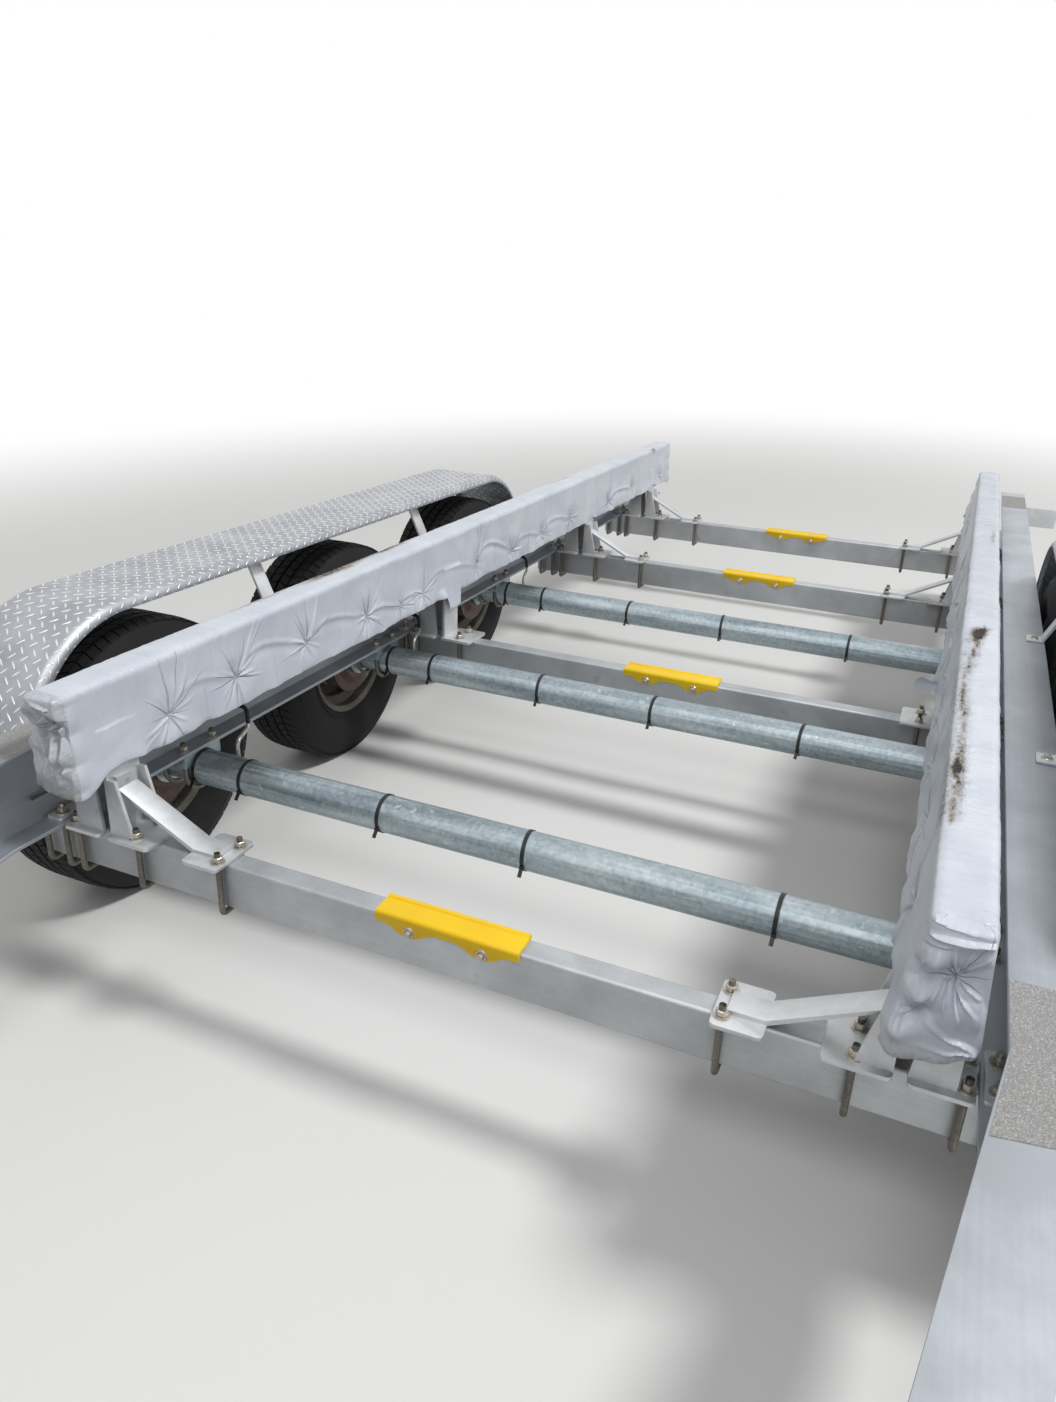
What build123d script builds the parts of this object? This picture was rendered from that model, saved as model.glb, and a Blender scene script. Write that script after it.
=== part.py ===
from build123d import *
import math
import os

# A large aluminium boat trailer on three axles, parked on its jack.
# Millimetres. +X is the trailer's right as seen from the hitch looking back,
# +Y runs to the rear, +Z is up. The origin is on the ground at mid length.
# A reach is a distance from the middle axle, positive to the rear.

# Wheels and axles
tyre_radius = 358.0
tyre_width = 220.0
tread_width = 176.0
bead_radius = 190.0
rim_width = 178.0
rim_flange_radius = 204.0
rim_gauge = 5.0
disc_gauge = 8.0
disc_offset = 18.0
wheel_offset = 129.5
axle_pitch = 887.0
axle_tube_diameter = 89.0
axle_tube_wall = 6.0
axle_tube_overhang = 1.5
spindle_diameter = 40.0
brake_plate_radius = 130.0
brake_plate_gauge = 5.0
brake_plate_dish = 14.0
hub_radius = 62.0
drum_radius = 122.0
drum_gap = 6.0
hub_cap_radius = 33.0
hub_cap_length = 52.0
stud_circle_radius = 57.15
stud_count = 5
nut_radius = 11.0
hub_bore_clearance = 0.5

# Rails of I section
rail_half_spacing = 955.0
rail_height = 203.0
rail_flange_width = 108.0
rail_flange_gauge = 9.0
rail_web_gauge = 6.5
rail_rear_reach = 3040.0
first_bend_reach = -1448.0
first_bend_angle = 9.3
second_bend_reach = -2750.0
rails_meet_reach = -4497.5
seat_gap = 0.3

# Saddles between the axle tubes and the rails
saddle_crown = 6.0
saddle_length = 96.0
saddle_width = 128.0
saddle_depth = 34.0

# Box crossmembers under the rails
crossmember_width = 51.0
crossmember_height = 102.0
crossmember_wall = 5.0
crossmember_corner = 7.0
crossmember_overhang = 8.0

# Bunks: a timber board in a loose white wrap
bunk_front_reach = -1383.0
bunk_rear_reach = 2702.0
bunk_top_height = 752.0
bunk_height = 204.0
board_inner_half_spacing = 780.0
board_width = 82.0
wrap_cover = 4.0
wrap_inner_flare = 31.0
wrap_outer_flare = 15.0
wrap_slack = 0.6

# Bunk brackets and braces
bracket_gauge = 8.0
bracket_width = 92.0
bracket_foot_reach = 108.0
bracket_foot_length = 125.0
bracket_foot_corner = 10.0
bracket_lap = 96.0
bracket_lip_top = 20.0
bracket_lip_bottom = 52.0
bracket_lip_gap = 4.0
outer_lip_width = 62.0
outer_foot_reach = 27.0
brace_width = 54.0
brace_gauge = 8.0
brace_tab_height = 30.0
brace_foot_half_spacing = 540.0
brace_foot_width = 88.0
rail_clamp_length = 120.0
rail_clamp_width = 40.0

# Keel pads
pad_length = 296.0
pad_gauge = 7.0
pad_round = 8.0
pad_rim_height = 3.0
pad_rim_width = 8.0
pad_skirt = 14.0
pad_ear_spacing = 150.0
pad_ear_drop = 33.0
pad_ear_flat = 28.0
pad_ear_slope = 34.0
pad_wave_radius = 40.0

# Fenders of tread plate
fender_width = 277.0
fender_inner_offset = 122.0
fender_top = 800.0
fender_gauge = 3.5
fender_lip = 26.0
fender_shoulder = 24.0
fender_half_length = 1300.0
fender_end_height = 440.0
fender_tab_height = 30.0
fender_end_radius = 330.0
fender_strap_width = 50.0
fender_strap_gauge = 6.0

# Tongue, coupler, jack and winch post
tongue_width = 102.0
tongue_height = 152.0
tongue_wall = 6.0
tongue_rear_reach = -2560.0
tongue_front_reach = -4830.0
ball_diameter = 58.74
ball_clearance = 0.45
ball_reach = -5020.0
ball_height = 468.0
socket_wall = 7.0
socket_lip = 4.0
socket_depth = 26.0
coupler_case_length = 215.0
coupler_case_gauge = 5.0
coupler_case_chamfer = 8.0
coupler_head_width = 82.0
jack_reach = -4612.0
jack_tube_radius = 30.0
jack_leg_radius = 25.0
jack_leg_clearance = 0.6
jack_tube_bottom = 290.0
jack_tube_top = 862.0
jack_leg_top = 560.0
jack_foot_size = 130.0
jack_foot_gauge = 8.0
jack_bracket_gauge = 10.0
jack_crank_reach = 150.0
post_reach = -3960.0
post_size = 76.0
post_wall = 5.0
post_height = 760.0
post_foot_length = 260.0
post_foot_gauge = 10.0
roller_radius = 50.0
roller_reach = 190.0
roller_arm_gauge = 6.0
strap_coil_radius = 48.0
winch_width = 90.0
winch_height = 470.0
winch_axle_reach = 66.0
winch_cheek_gauge = 4.0
handle_arm_length = 180.0
handle_arm_width = 26.0
handle_arm_gauge = 6.0
handle_grip_length = 90.0

# Lamps
lamp_width = 150.0
lamp_height = 80.0
lamp_depth = 42.0
lamp_plate_gauge = 5.0
marker_length = 100.0
marker_height = 32.0
marker_depth = 22.0
front_marker_setback = 60.0
rear_marker_setback = 420.0

# Brake pipes and hoses
brake_pipe_radius = 3.0
hose_radius = 5.5
hose_fitting_radius = 8.0
hose_root_offset = 128.0
hose_end_half_spacing = 842.0
axle_pipe_half_length = 880.0

# Places that follow from the sizes above
socket_radius = ball_diameter / 2 + ball_clearance
coupler_nose_reach = ball_reach - socket_radius - socket_wall - socket_lip
middle_axle_y = -(rail_rear_reach + coupler_nose_reach) / 2
axle_tube_half_length = rail_half_spacing + rail_flange_width / 2 + axle_tube_overhang
wheel_half_track = axle_tube_half_length + wheel_offset
fender_inner = wheel_half_track - fender_inner_offset
fender_outer = fender_inner + fender_width
front_marker_reach = first_bend_reach + front_marker_setback
rear_marker_reach = rail_rear_reach - rear_marker_setback
brake_plate_start = axle_tube_half_length + 2 * axle_tube_wall + seat_gap
drum_start = brake_plate_start + brake_plate_dish + brake_plate_gauge + drum_gap - wheel_half_track
axle_height = tyre_radius
rail_bottom = axle_height + axle_tube_diameter / 2 + saddle_crown + 2 * seat_gap
rail_top = rail_bottom + rail_height
crossmember_top = rail_bottom - seat_gap
crossmember_bottom = crossmember_top - crossmember_height
bunk_bottom = bunk_top_height - bunk_height
board_top = bunk_top_height - wrap_cover
board_outer_half_spacing = board_inner_half_spacing + board_width
axle_reaches = {1: -axle_pitch, 2: 0.0, 3: axle_pitch}
# reach of each crossmember's middle, whether its brackets have braces, whether it has a keel pad
crossmembers = {
    1: (-1268.0, True, True),
    2: (182.0, False, True),
    3: (1490.0, True, True),
    4: (2402.0, True, True),
}
front_crossmember_reach = -2640.0
sides = {"left": -1, "right": 1}


def along(reach):
    """Y of a place given by its distance from the middle axle."""
    return middle_axle_y + reach


def rail_half_spacing_at(reach):
    """Half the distance between the rails' webs at a given reach."""
    if reach >= first_bend_reach:
        return rail_half_spacing
    if reach >= second_bend_reach:
        return rail_half_spacing - (first_bend_reach - reach) * math.tan(math.radians(first_bend_angle))
    at_bend = rail_half_spacing_at(second_bend_reach)
    return at_bend * (reach - rails_meet_reach) / (second_bend_reach - rails_meet_reach)


def save(part, name):
    """Label one finished piece and write it."""
    part.label = name
    export_step(part, f"parts/{name}.step")


def make_rail(side):
    """One I section rail, bent in twice towards the tongue and cut against its side."""
    level = (rail_bottom + rail_top) / 2
    with BuildPart() as rail:
        with BuildLine() as path:
            Polyline(
                (side * rail_half_spacing, along(rail_rear_reach), level),
                (side * rail_half_spacing, along(first_bend_reach), level),
                (side * rail_half_spacing_at(second_bend_reach), along(second_bend_reach), level),
                (side * rail_half_spacing_at(tongue_front_reach), along(tongue_front_reach), level),
            )
        end_plane = Plane(origin=path.line @ 0, x_dir=(1, 0, 0), z_dir=(0, -1, 0))
        with BuildSketch(end_plane):
            Rectangle(rail_flange_width, rail_height)
            web_side = (rail_flange_width - rail_web_gauge) / 2
            with Locations(
                (-(rail_web_gauge + web_side) / 2, 0),
                ((rail_web_gauge + web_side) / 2, 0),
            ):
                Rectangle(web_side, rail_height - 2 * rail_flange_gauge, mode=Mode.SUBTRACT)
        sweep(path=path.line, transition=Transition.RIGHT)
        cut = Plane(origin=(side * (tongue_width / 2 + seat_gap), 0, 0), z_dir=(side, 0, 0))
        split(bisect_by=cut, keep=Keep.TOP)
    return rail.part


def make_crossmembers():
    """Closed box crossmembers that lie across under both rails."""
    reaches = [row[0] for row in crossmembers.values()] + [front_crossmember_reach]
    with BuildPart() as members:
        for reach in reaches:
            half_length = rail_half_spacing_at(reach) + rail_flange_width / 2 - crossmember_overhang
            with BuildSketch(Plane.YZ.offset(-half_length)):
                with Locations((along(reach), (crossmember_top + crossmember_bottom) / 2)):
                    RectangleRounded(crossmember_width, crossmember_height, crossmember_corner)
                    RectangleRounded(
                        crossmember_width - 2 * crossmember_wall,
                        crossmember_height - 2 * crossmember_wall,
                        crossmember_corner - crossmember_wall,
                        mode=Mode.SUBTRACT,
                    )
            extrude(amount=2 * half_length)
    return members.part


def make_axle(reach):
    """Axle tube with its flanges and spindles."""
    flange_radius = 0.5 * brake_plate_radius
    with BuildPart() as axle:
        with BuildSketch(Plane.YZ.offset(-axle_tube_half_length)):
            with Locations((along(reach), axle_height)):
                Circle(axle_tube_diameter / 2)
                Circle(axle_tube_diameter / 2 - axle_tube_wall, mode=Mode.SUBTRACT)
        extrude(amount=2 * axle_tube_half_length)
        for side in sides.values():
            root = Plane(
                origin=(side * axle_tube_half_length, along(reach), axle_height),
                x_dir=(0, 1, 0),
                z_dir=(side, 0, 0),
            )
            with BuildSketch(root):
                Circle(flange_radius)
            extrude(amount=2 * axle_tube_wall)
            with BuildSketch(root.offset(2 * axle_tube_wall)):
                Circle(spindle_diameter / 2)
            extrude(amount=wheel_half_track - axle_tube_half_length + hub_cap_length / 2)
    return axle.part


def make_brake_plates():
    """The dished brake backing plates of every axle, bored for the spindle's root."""
    start = brake_plate_start
    face = start + brake_plate_gauge
    dish = brake_plate_dish
    bore = axle_height + spindle_diameter / 2 + hub_bore_clearance
    edge = axle_height + brake_plate_radius
    with BuildPart() as plates:
        for reach in axle_reaches.values():
            for side in sides.values():
                with BuildSketch(Plane.XZ.offset(-along(reach))):
                    with BuildLine():
                        Polyline(
                            (side * start, bore),
                            (side * start, axle_height + brake_plate_radius * 0.62),
                            (side * (start + dish), axle_height + brake_plate_radius * 0.78),
                            (side * (start + dish), edge),
                            (side * (face + dish), edge),
                            (side * (face + dish), axle_height + brake_plate_radius * 0.75),
                            (side * face, axle_height + brake_plate_radius * 0.59),
                            (side * face, bore),
                            close=True,
                        )
                    make_face()
                revolve(axis=Axis((0, along(reach), axle_height), (1, 0, 0)))
    return plates.part


def wheel_plane(side, reach):
    """Plane at a wheel's middle, square to its axle, facing out."""
    return Plane(
        origin=(side * wheel_half_track, along(reach), axle_height),
        x_dir=(0, 1, 0),
        z_dir=(side, 0, 0),
    )


def wheel_section(side, reach):
    """Upright plane through a wheel's axle, its own X pointing out along the axle."""
    return Plane(
        origin=(side * wheel_half_track, along(reach), axle_height),
        x_dir=(side, 0, 0),
        z_dir=(0, -side, 0),
    )


def make_rim(side, reach):
    """Pressed rim with its disc, hub, drum, studs and nuts, all turning as one."""
    middle = wheel_plane(side, reach)
    axle_line = Axis(middle.origin, middle.z_dir)
    half_rim = rim_width / 2
    well_radius = bead_radius - 26.0
    with BuildPart() as rim:
        with BuildSketch(wheel_section(side, reach)):
            with BuildLine():
                Polyline(
                    (-half_rim, rim_flange_radius),
                    (-half_rim + 10, bead_radius),
                    (-half_rim + 38, bead_radius),
                    (-half_rim + 52, well_radius),
                    (half_rim - 74, well_radius),
                    (half_rim - 40, bead_radius),
                    (half_rim - 10, bead_radius),
                    (half_rim, rim_flange_radius),
                    (half_rim, rim_flange_radius - rim_gauge),
                    (half_rim - 6, bead_radius - rim_gauge),
                    (half_rim - 38, bead_radius - rim_gauge),
                    (half_rim - 72, well_radius - rim_gauge),
                    (-half_rim + 50, well_radius - rim_gauge),
                    (-half_rim + 36, bead_radius - rim_gauge),
                    (-half_rim + 6, bead_radius - rim_gauge),
                    (-half_rim, rim_flange_radius - rim_gauge),
                    close=True,
                )
            make_face()
            with BuildLine():
                Polyline(
                    (disc_offset, 40),
                    (disc_offset, 80),
                    (disc_offset + 16, 104),
                    (disc_offset + 12, 132),
                    (disc_offset - 16, well_radius - rim_gauge + 1),
                    (disc_offset - 16 - disc_gauge, well_radius - rim_gauge + 1),
                    (disc_offset + 4, 128),
                    (disc_offset + 7, 106),
                    (disc_offset - disc_gauge, 82),
                    (disc_offset - disc_gauge, 40),
                    close=True,
                )
            make_face()
            with BuildLine():
                Polyline(
                    (drum_start, drum_radius),
                    (disc_offset - disc_gauge, drum_radius - 6),
                    (disc_offset - disc_gauge, hub_radius),
                    (disc_offset, hub_radius),
                    (disc_offset, hub_cap_radius + 3),
                    (disc_offset + hub_cap_length - 8, hub_cap_radius),
                    (disc_offset + hub_cap_length, hub_cap_radius - 10),
                    (disc_offset + hub_cap_length, 0),
                    (disc_offset + hub_cap_length - 6, 0),
                    (disc_offset + hub_cap_length - 6, spindle_diameter / 2 + hub_bore_clearance),
                    (drum_start + 12, spindle_diameter / 2 + hub_bore_clearance),
                    (drum_start + 12, hub_radius - 14),
                    (disc_offset - disc_gauge - 9, hub_radius - 8),
                    (disc_offset - disc_gauge - 9, drum_radius - 14),
                    (drum_start, drum_radius - 8),
                    close=True,
                )
            make_face()
        revolve(axis=axle_line)
        with BuildSketch(middle.offset(disc_offset)):
            with PolarLocations(stud_circle_radius, stud_count):
                RegularPolygon(nut_radius, 6)
        extrude(amount=16)
        with BuildSketch(middle.offset(disc_offset + 40)):
            with PolarLocations(120, 8):
                SlotOverall(34, 15)
        extrude(amount=-70, mode=Mode.SUBTRACT)
    return rim.part


def make_tyre(side, reach):
    """Tyre with rounded shoulders and an open bead."""
    middle = wheel_plane(side, reach)
    half_bead = rim_width / 2 - 12
    half_section = tyre_width / 2
    half_tread = tread_width / 2
    seat = bead_radius + 0.5
    with BuildPart() as tyre:
        with BuildSketch(wheel_section(side, reach)):
            with BuildLine():
                Polyline(
                    (-half_bead, seat),
                    (-half_bead - 2, seat + 16),
                    (-half_section, tyre_radius - 84),
                    (-half_section + 6, tyre_radius - 44),
                    (-half_tread, tyre_radius - 8),
                    (-half_tread + 12, tyre_radius - 1),
                    (0, tyre_radius),
                    (half_tread - 12, tyre_radius - 1),
                    (half_tread, tyre_radius - 8),
                    (half_section - 6, tyre_radius - 44),
                    (half_section, tyre_radius - 84),
                    (half_bead + 2, seat + 16),
                    (half_bead, seat),
                    (half_bead - 24, seat),
                    (half_bead - 24, seat + 10),
                    (half_section - 14, tyre_radius - 84),
                    (half_tread - 12, tyre_radius - 22),
                    (-half_tread + 12, tyre_radius - 22),
                    (-half_section + 14, tyre_radius - 84),
                    (-half_bead + 24, seat + 10),
                    (-half_bead + 24, seat),
                    close=True,
                )
            make_face()
        revolve(axis=Axis(middle.origin, middle.z_dir))
    return tyre.part


def make_saddles():
    """The cast saddles that seat the axle tubes under the rails."""
    top = rail_bottom - seat_gap
    with BuildPart() as saddles:
        for side in sides.values():
            with BuildSketch(Plane.YZ.offset(side * rail_half_spacing - saddle_length / 2)):
                for reach in axle_reaches.values():
                    with Locations((along(reach), top - saddle_depth / 2)):
                        Rectangle(saddle_width, saddle_depth)
                    with Locations((along(reach), axle_height)):
                        Circle(axle_tube_diameter / 2 + seat_gap, mode=Mode.SUBTRACT)
            extrude(amount=saddle_length)
    return saddles.part


def make_board(side):
    """The timber of one bunk."""
    length = bunk_rear_reach - bunk_front_reach - 2 * wrap_cover
    middle = (bunk_rear_reach + bunk_front_reach) / 2
    with BuildPart() as board:
        with BuildSketch(Plane.XY.offset(bunk_bottom + seat_gap)):
            with Locations((side * (board_inner_half_spacing + board_width / 2), along(middle))):
                Rectangle(board_width, length)
        extrude(amount=board_top - bunk_bottom - seat_gap)
    return board.part


def make_wrap(side):
    """The loose wrap of one bunk, open underneath, with room for the brackets inside it."""
    inner = board_inner_half_spacing - wrap_cover
    outer = board_outer_half_spacing + wrap_cover
    half_slack = wrap_slack / 2
    length = bunk_rear_reach - bunk_front_reach
    with BuildPart() as wrap:
        with BuildSketch(Plane.XZ.offset(-along(bunk_front_reach))):
            with BuildLine():
                Polyline(
                    (side * inner, bunk_top_height),
                    (side * outer, bunk_top_height),
                    (side * (outer + wrap_outer_flare), bunk_bottom),
                    (side * (inner - wrap_inner_flare), bunk_bottom),
                    close=True,
                )
            make_face()
        extrude(amount=-length)
        middle = (bunk_rear_reach + bunk_front_reach) / 2
        with BuildSketch(Plane.XY.offset(bunk_bottom)):
            with Locations((side * (board_inner_half_spacing + board_width / 2), along(middle))):
                Rectangle(board_width + wrap_slack, length - 2 * wrap_cover + wrap_slack)
        extrude(amount=board_top - bunk_bottom + half_slack, mode=Mode.SUBTRACT)
        slot_depth = bracket_gauge + seat_gap + half_slack
        with BuildSketch(Plane.XY.offset(bunk_bottom)):
            for reach, has_brace, has_pad in crossmembers.values():
                with Locations(
                    (side * (board_inner_half_spacing - slot_depth / 2), along(reach)),
                    (side * (board_outer_half_spacing + slot_depth / 2), along(reach)),
                ):
                    Rectangle(slot_depth + 1, bracket_width + wrap_slack)
        extrude(amount=bracket_lap + half_slack, mode=Mode.SUBTRACT)
    return wrap.part


def make_brackets():
    """Inner and outer bunk brackets on every crossmember, left and right."""
    foot_bottom = crossmember_top + seat_gap
    foot_top = foot_bottom + bracket_gauge
    web_height = bunk_bottom + bracket_lap - foot_bottom
    inner_face = board_inner_half_spacing - seat_gap
    outer_face = board_outer_half_spacing + seat_gap
    lip_top = bunk_bottom - bracket_lip_gap
    outer_foot_width = outer_lip_width + bracket_gauge + outer_foot_reach
    outer_foot_middle = outer_face + bracket_gauge + outer_foot_reach - outer_foot_width / 2
    with BuildPart() as brackets:
        for reach, has_brace, has_pad in crossmembers.values():
            for side in sides.values():
                with BuildSketch(Plane.XY.offset(foot_bottom)):
                    with Locations(
                        (side * (inner_face - bracket_gauge / 2), along(reach)),
                        (side * (outer_face + bracket_gauge / 2), along(reach)),
                    ):
                        Rectangle(bracket_gauge, bracket_width)
                extrude(amount=web_height)
                with BuildSketch(Plane.XY.offset(foot_bottom)):
                    with Locations((side * (inner_face - bracket_foot_reach / 2), along(reach))):
                        RectangleRounded(bracket_foot_reach, bracket_foot_length, bracket_foot_corner)
                    with Locations((side * outer_foot_middle, along(reach))):
                        RectangleRounded(outer_foot_width, bracket_foot_length, bracket_foot_corner)
                extrude(amount=bracket_gauge)
                for end in (-1, 1):
                    lip_y = along(reach) + end * (bracket_width - bracket_gauge) / 2
                    with BuildSketch(Plane.XZ.offset(-lip_y)):
                        with BuildLine():
                            Polyline(
                                (side * (outer_face + 1), foot_top - 1),
                                (side * (outer_face + 1), lip_top),
                                (side * (outer_face - outer_lip_width * 0.8), lip_top),
                                (side * (outer_face - outer_lip_width), foot_top - 1),
                                close=True,
                            )
                        make_face()
                        if has_brace:
                            root = inner_face - bracket_gauge + 1
                            with BuildLine():
                                Polyline(
                                    (side * root, foot_top - 1),
                                    (side * root, lip_top),
                                    (side * (root - bracket_lip_top), lip_top),
                                    (side * (root - bracket_lip_bottom), foot_top - 1),
                                    close=True,
                                )
                            make_face()
                    extrude(amount=bracket_gauge / 2, both=True)
    return brackets.part


def make_braces():
    """Flat diagonal braces, a pair on each braced crossmember, each on its own foot."""
    foot_top = crossmember_top + seat_gap + bracket_gauge
    tab = board_inner_half_spacing - 2 * seat_gap - bracket_gauge
    tab_bottom = bunk_bottom - brace_tab_height - bracket_lip_gap
    tab_top = bunk_bottom - bracket_lip_gap
    heel = brace_foot_half_spacing + brace_foot_width / 2
    toe = brace_foot_half_spacing - brace_foot_width / 4
    with BuildPart() as braces:
        for reach, has_brace, has_pad in crossmembers.values():
            if not has_brace:
                continue
            for side in sides.values():
                with BuildSketch(Plane.XY.offset(crossmember_top + seat_gap)):
                    with Locations((side * brace_foot_half_spacing, along(reach))):
                        RectangleRounded(brace_foot_width, bracket_foot_length, bracket_foot_corner)
                extrude(amount=bracket_gauge)
                with BuildSketch(Plane.XZ.offset(-along(reach))):
                    with BuildLine():
                        Polyline(
                            (side * toe, foot_top - 1),
                            (side * heel, foot_top - 1),
                            (side * tab, tab_bottom),
                            (side * tab, tab_top),
                            (side * (tab - brace_gauge), tab_top),
                            (side * (tab - brace_gauge), tab_bottom + 3),
                            (side * (heel - 3), foot_top + brace_gauge),
                            (side * toe, foot_top + brace_gauge),
                            close=True,
                        )
                    make_face()
                extrude(amount=brace_width / 2, both=True)
    return braces.part


def make_rail_clamps():
    """Clamp plates on the rails' lower flanges over each crossmember, inside and outside the web."""
    flange_top = rail_bottom + rail_flange_gauge + seat_gap
    from_web = (rail_flange_width / 2 + rail_web_gauge / 2) / 2
    with BuildPart() as clamps:
        with BuildSketch(Plane.XY.offset(flange_top)):
            for reach, has_brace, has_pad in crossmembers.values():
                for side in sides.values():
                    with Locations(
                        (side * (rail_half_spacing - from_web), along(reach)),
                        (side * (rail_half_spacing + from_web), along(reach)),
                    ):
                        RectangleRounded(rail_clamp_width, rail_clamp_length, 6)
        extrude(amount=bracket_gauge)
    return clamps.part


def make_keel_pads():
    """Moulded pads over the top and front of the crossmembers, with a rear rim and a waved front skirt."""
    ear_ends = (-pad_ear_flat / 2, pad_ear_flat / 2)
    with BuildPart() as pads:
        for reach, has_brace, has_pad in crossmembers.values():
            front = along(reach) - crossmember_width / 2 - seat_gap
            rear = along(reach) + crossmember_width / 2
            top = crossmember_top + seat_gap
            with BuildSketch(Plane.YZ.offset(-pad_length / 2)) as section:
                with BuildLine():
                    Polyline(
                        (rear, top),
                        (rear, top + pad_gauge + pad_rim_height),
                        (rear - pad_rim_width, top + pad_gauge + pad_rim_height),
                        (rear - pad_rim_width - pad_rim_height, top + pad_gauge),
                        (front - pad_gauge, top + pad_gauge),
                        (front - pad_gauge, top - pad_skirt),
                        (front, top - pad_skirt),
                        (front, top),
                        close=True,
                    )
                make_face()
                fillet(section.vertices().group_by(Axis.X)[0].sort_by(Axis.Y)[-1], radius=pad_round)
            extrude(amount=pad_length)
            with BuildSketch(Plane.XZ.offset(-front)) as skirt:
                with BuildLine():
                    Polyline(
                        (-pad_length / 2, top),
                        (-pad_length / 2, top - pad_skirt),
                        (-pad_ear_spacing / 2 + ear_ends[0] - pad_ear_slope, top - pad_skirt),
                        (-pad_ear_spacing / 2 + ear_ends[0], top - pad_ear_drop),
                        (-pad_ear_spacing / 2 + ear_ends[1], top - pad_ear_drop),
                        (-pad_ear_spacing / 2 + ear_ends[1] + pad_ear_slope, top - pad_skirt),
                        (pad_ear_spacing / 2 + ear_ends[0] - pad_ear_slope, top - pad_skirt),
                        (pad_ear_spacing / 2 + ear_ends[0], top - pad_ear_drop),
                        (pad_ear_spacing / 2 + ear_ends[1], top - pad_ear_drop),
                        (pad_ear_spacing / 2 + ear_ends[1] + pad_ear_slope, top - pad_skirt),
                        (pad_length / 2, top - pad_skirt),
                        (pad_length / 2, top),
                        close=True,
                    )
                make_face()
                wave = skirt.vertices().filter_by_position(Axis.X, 1 - pad_length / 2, pad_length / 2 - 1)
                fillet(wave, radius=pad_wave_radius)
            extrude(amount=pad_gauge)
    return pads.part


def make_fender(side):
    """Tread plate fender over the three wheels, its section swept over both rounded ends."""
    middle = (fender_inner + fender_outer) / 2
    half_width = (fender_outer - fender_inner) / 2
    inside = half_width - fender_gauge
    with BuildPart() as fender:
        with BuildLine(Plane.YZ.offset(side * middle)) as path:
            FilletPolyline(
                (along(-fender_half_length), fender_end_height),
                (along(-fender_half_length), fender_top),
                (along(fender_half_length), fender_top),
                (along(fender_half_length), fender_end_height),
                radius=fender_end_radius,
            )
        start = path.wire()
        with BuildSketch(Plane(origin=start @ 0, x_dir=(1, 0, 0), z_dir=start % 0)):
            with BuildLine():
                FilletPolyline(
                    (-half_width, fender_lip),
                    (-half_width, 0),
                    (half_width, 0),
                    (half_width, fender_lip),
                    radius=fender_shoulder,
                )
                Line((half_width, fender_lip), (inside, fender_lip))
                FilletPolyline(
                    (inside, fender_lip),
                    (inside, fender_gauge),
                    (-inside, fender_gauge),
                    (-inside, fender_lip),
                    radius=fender_shoulder - fender_gauge,
                )
                Line((-inside, fender_lip), (-half_width, fender_lip))
            make_face()
        sweep(path=start)
    return fender.part


def make_fender_straps():
    """Bent flat straps from each rail up to its fender, two between the wheels and one at each end."""
    foot_bottom = rail_top + seat_gap
    under = fender_top - fender_gauge - seat_gap
    gauge = fender_strap_gauge
    foot_inner = rail_half_spacing + 5
    knee = fender_inner - 14
    top_inner = fender_inner + 62
    top_outer = fender_inner + 120
    end_under = fender_end_height - seat_gap
    web_face = rail_half_spacing + rail_web_gauge / 2 + seat_gap
    end_inside = fender_half_length - fender_gauge - seat_gap
    with BuildPart() as straps:
        for side in sides.values():
            for reach in (-axle_pitch / 2, axle_pitch / 2):
                with BuildSketch(Plane.XZ.offset(-along(reach))):
                    with BuildLine():
                        Polyline(
                            (side * foot_inner, foot_bottom),
                            (side * knee, foot_bottom),
                            (side * (top_inner + gauge), under - gauge),
                            (side * top_outer, under - gauge),
                            (side * top_outer, under),
                            (side * top_inner, under),
                            (side * (knee - gauge), foot_bottom + gauge),
                            (side * foot_inner, foot_bottom + gauge),
                            close=True,
                        )
                    make_face()
                extrude(amount=fender_strap_width / 2, both=True)
            for end in (-1, 1):
                arm_y = along(end * (end_inside - fender_strap_width / 2))
                with BuildSketch(Plane.XZ.offset(-arm_y)):
                    with BuildLine():
                        Polyline(
                            (side * web_face, end_under - gauge),
                            (side * (fender_outer - 8), end_under - gauge),
                            (side * (fender_outer - 8), end_under),
                            (side * (web_face + gauge), end_under),
                            (side * (web_face + gauge), end_under + fender_tab_height),
                            (side * web_face, end_under + fender_tab_height),
                            close=True,
                        )
                    make_face()
                extrude(amount=fender_strap_width / 2, both=True)
                tab_y = along(end * end_inside) - end * gauge / 2
                with BuildSketch(Plane.XY.offset(end_under)):
                    with Locations((side * (fender_inner + fender_outer) / 2, tab_y)):
                        Rectangle(fender_outer - fender_inner - 60, gauge)
                extrude(amount=fender_tab_height)
    return straps.part


def make_tongue():
    """Box tongue that runs from the front crossmember to the coupler."""
    length = tongue_rear_reach - tongue_front_reach
    with BuildPart() as tongue:
        with BuildSketch(Plane.XZ.offset(-along(tongue_front_reach))):
            with Locations((0, rail_bottom + tongue_height / 2)):
                RectangleRounded(tongue_width, tongue_height, 9)
                RectangleRounded(
                    tongue_width - 2 * tongue_wall,
                    tongue_height - 2 * tongue_wall,
                    9 - tongue_wall,
                    mode=Mode.SUBTRACT,
                )
        extrude(amount=-length)
    return tongue.part


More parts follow.
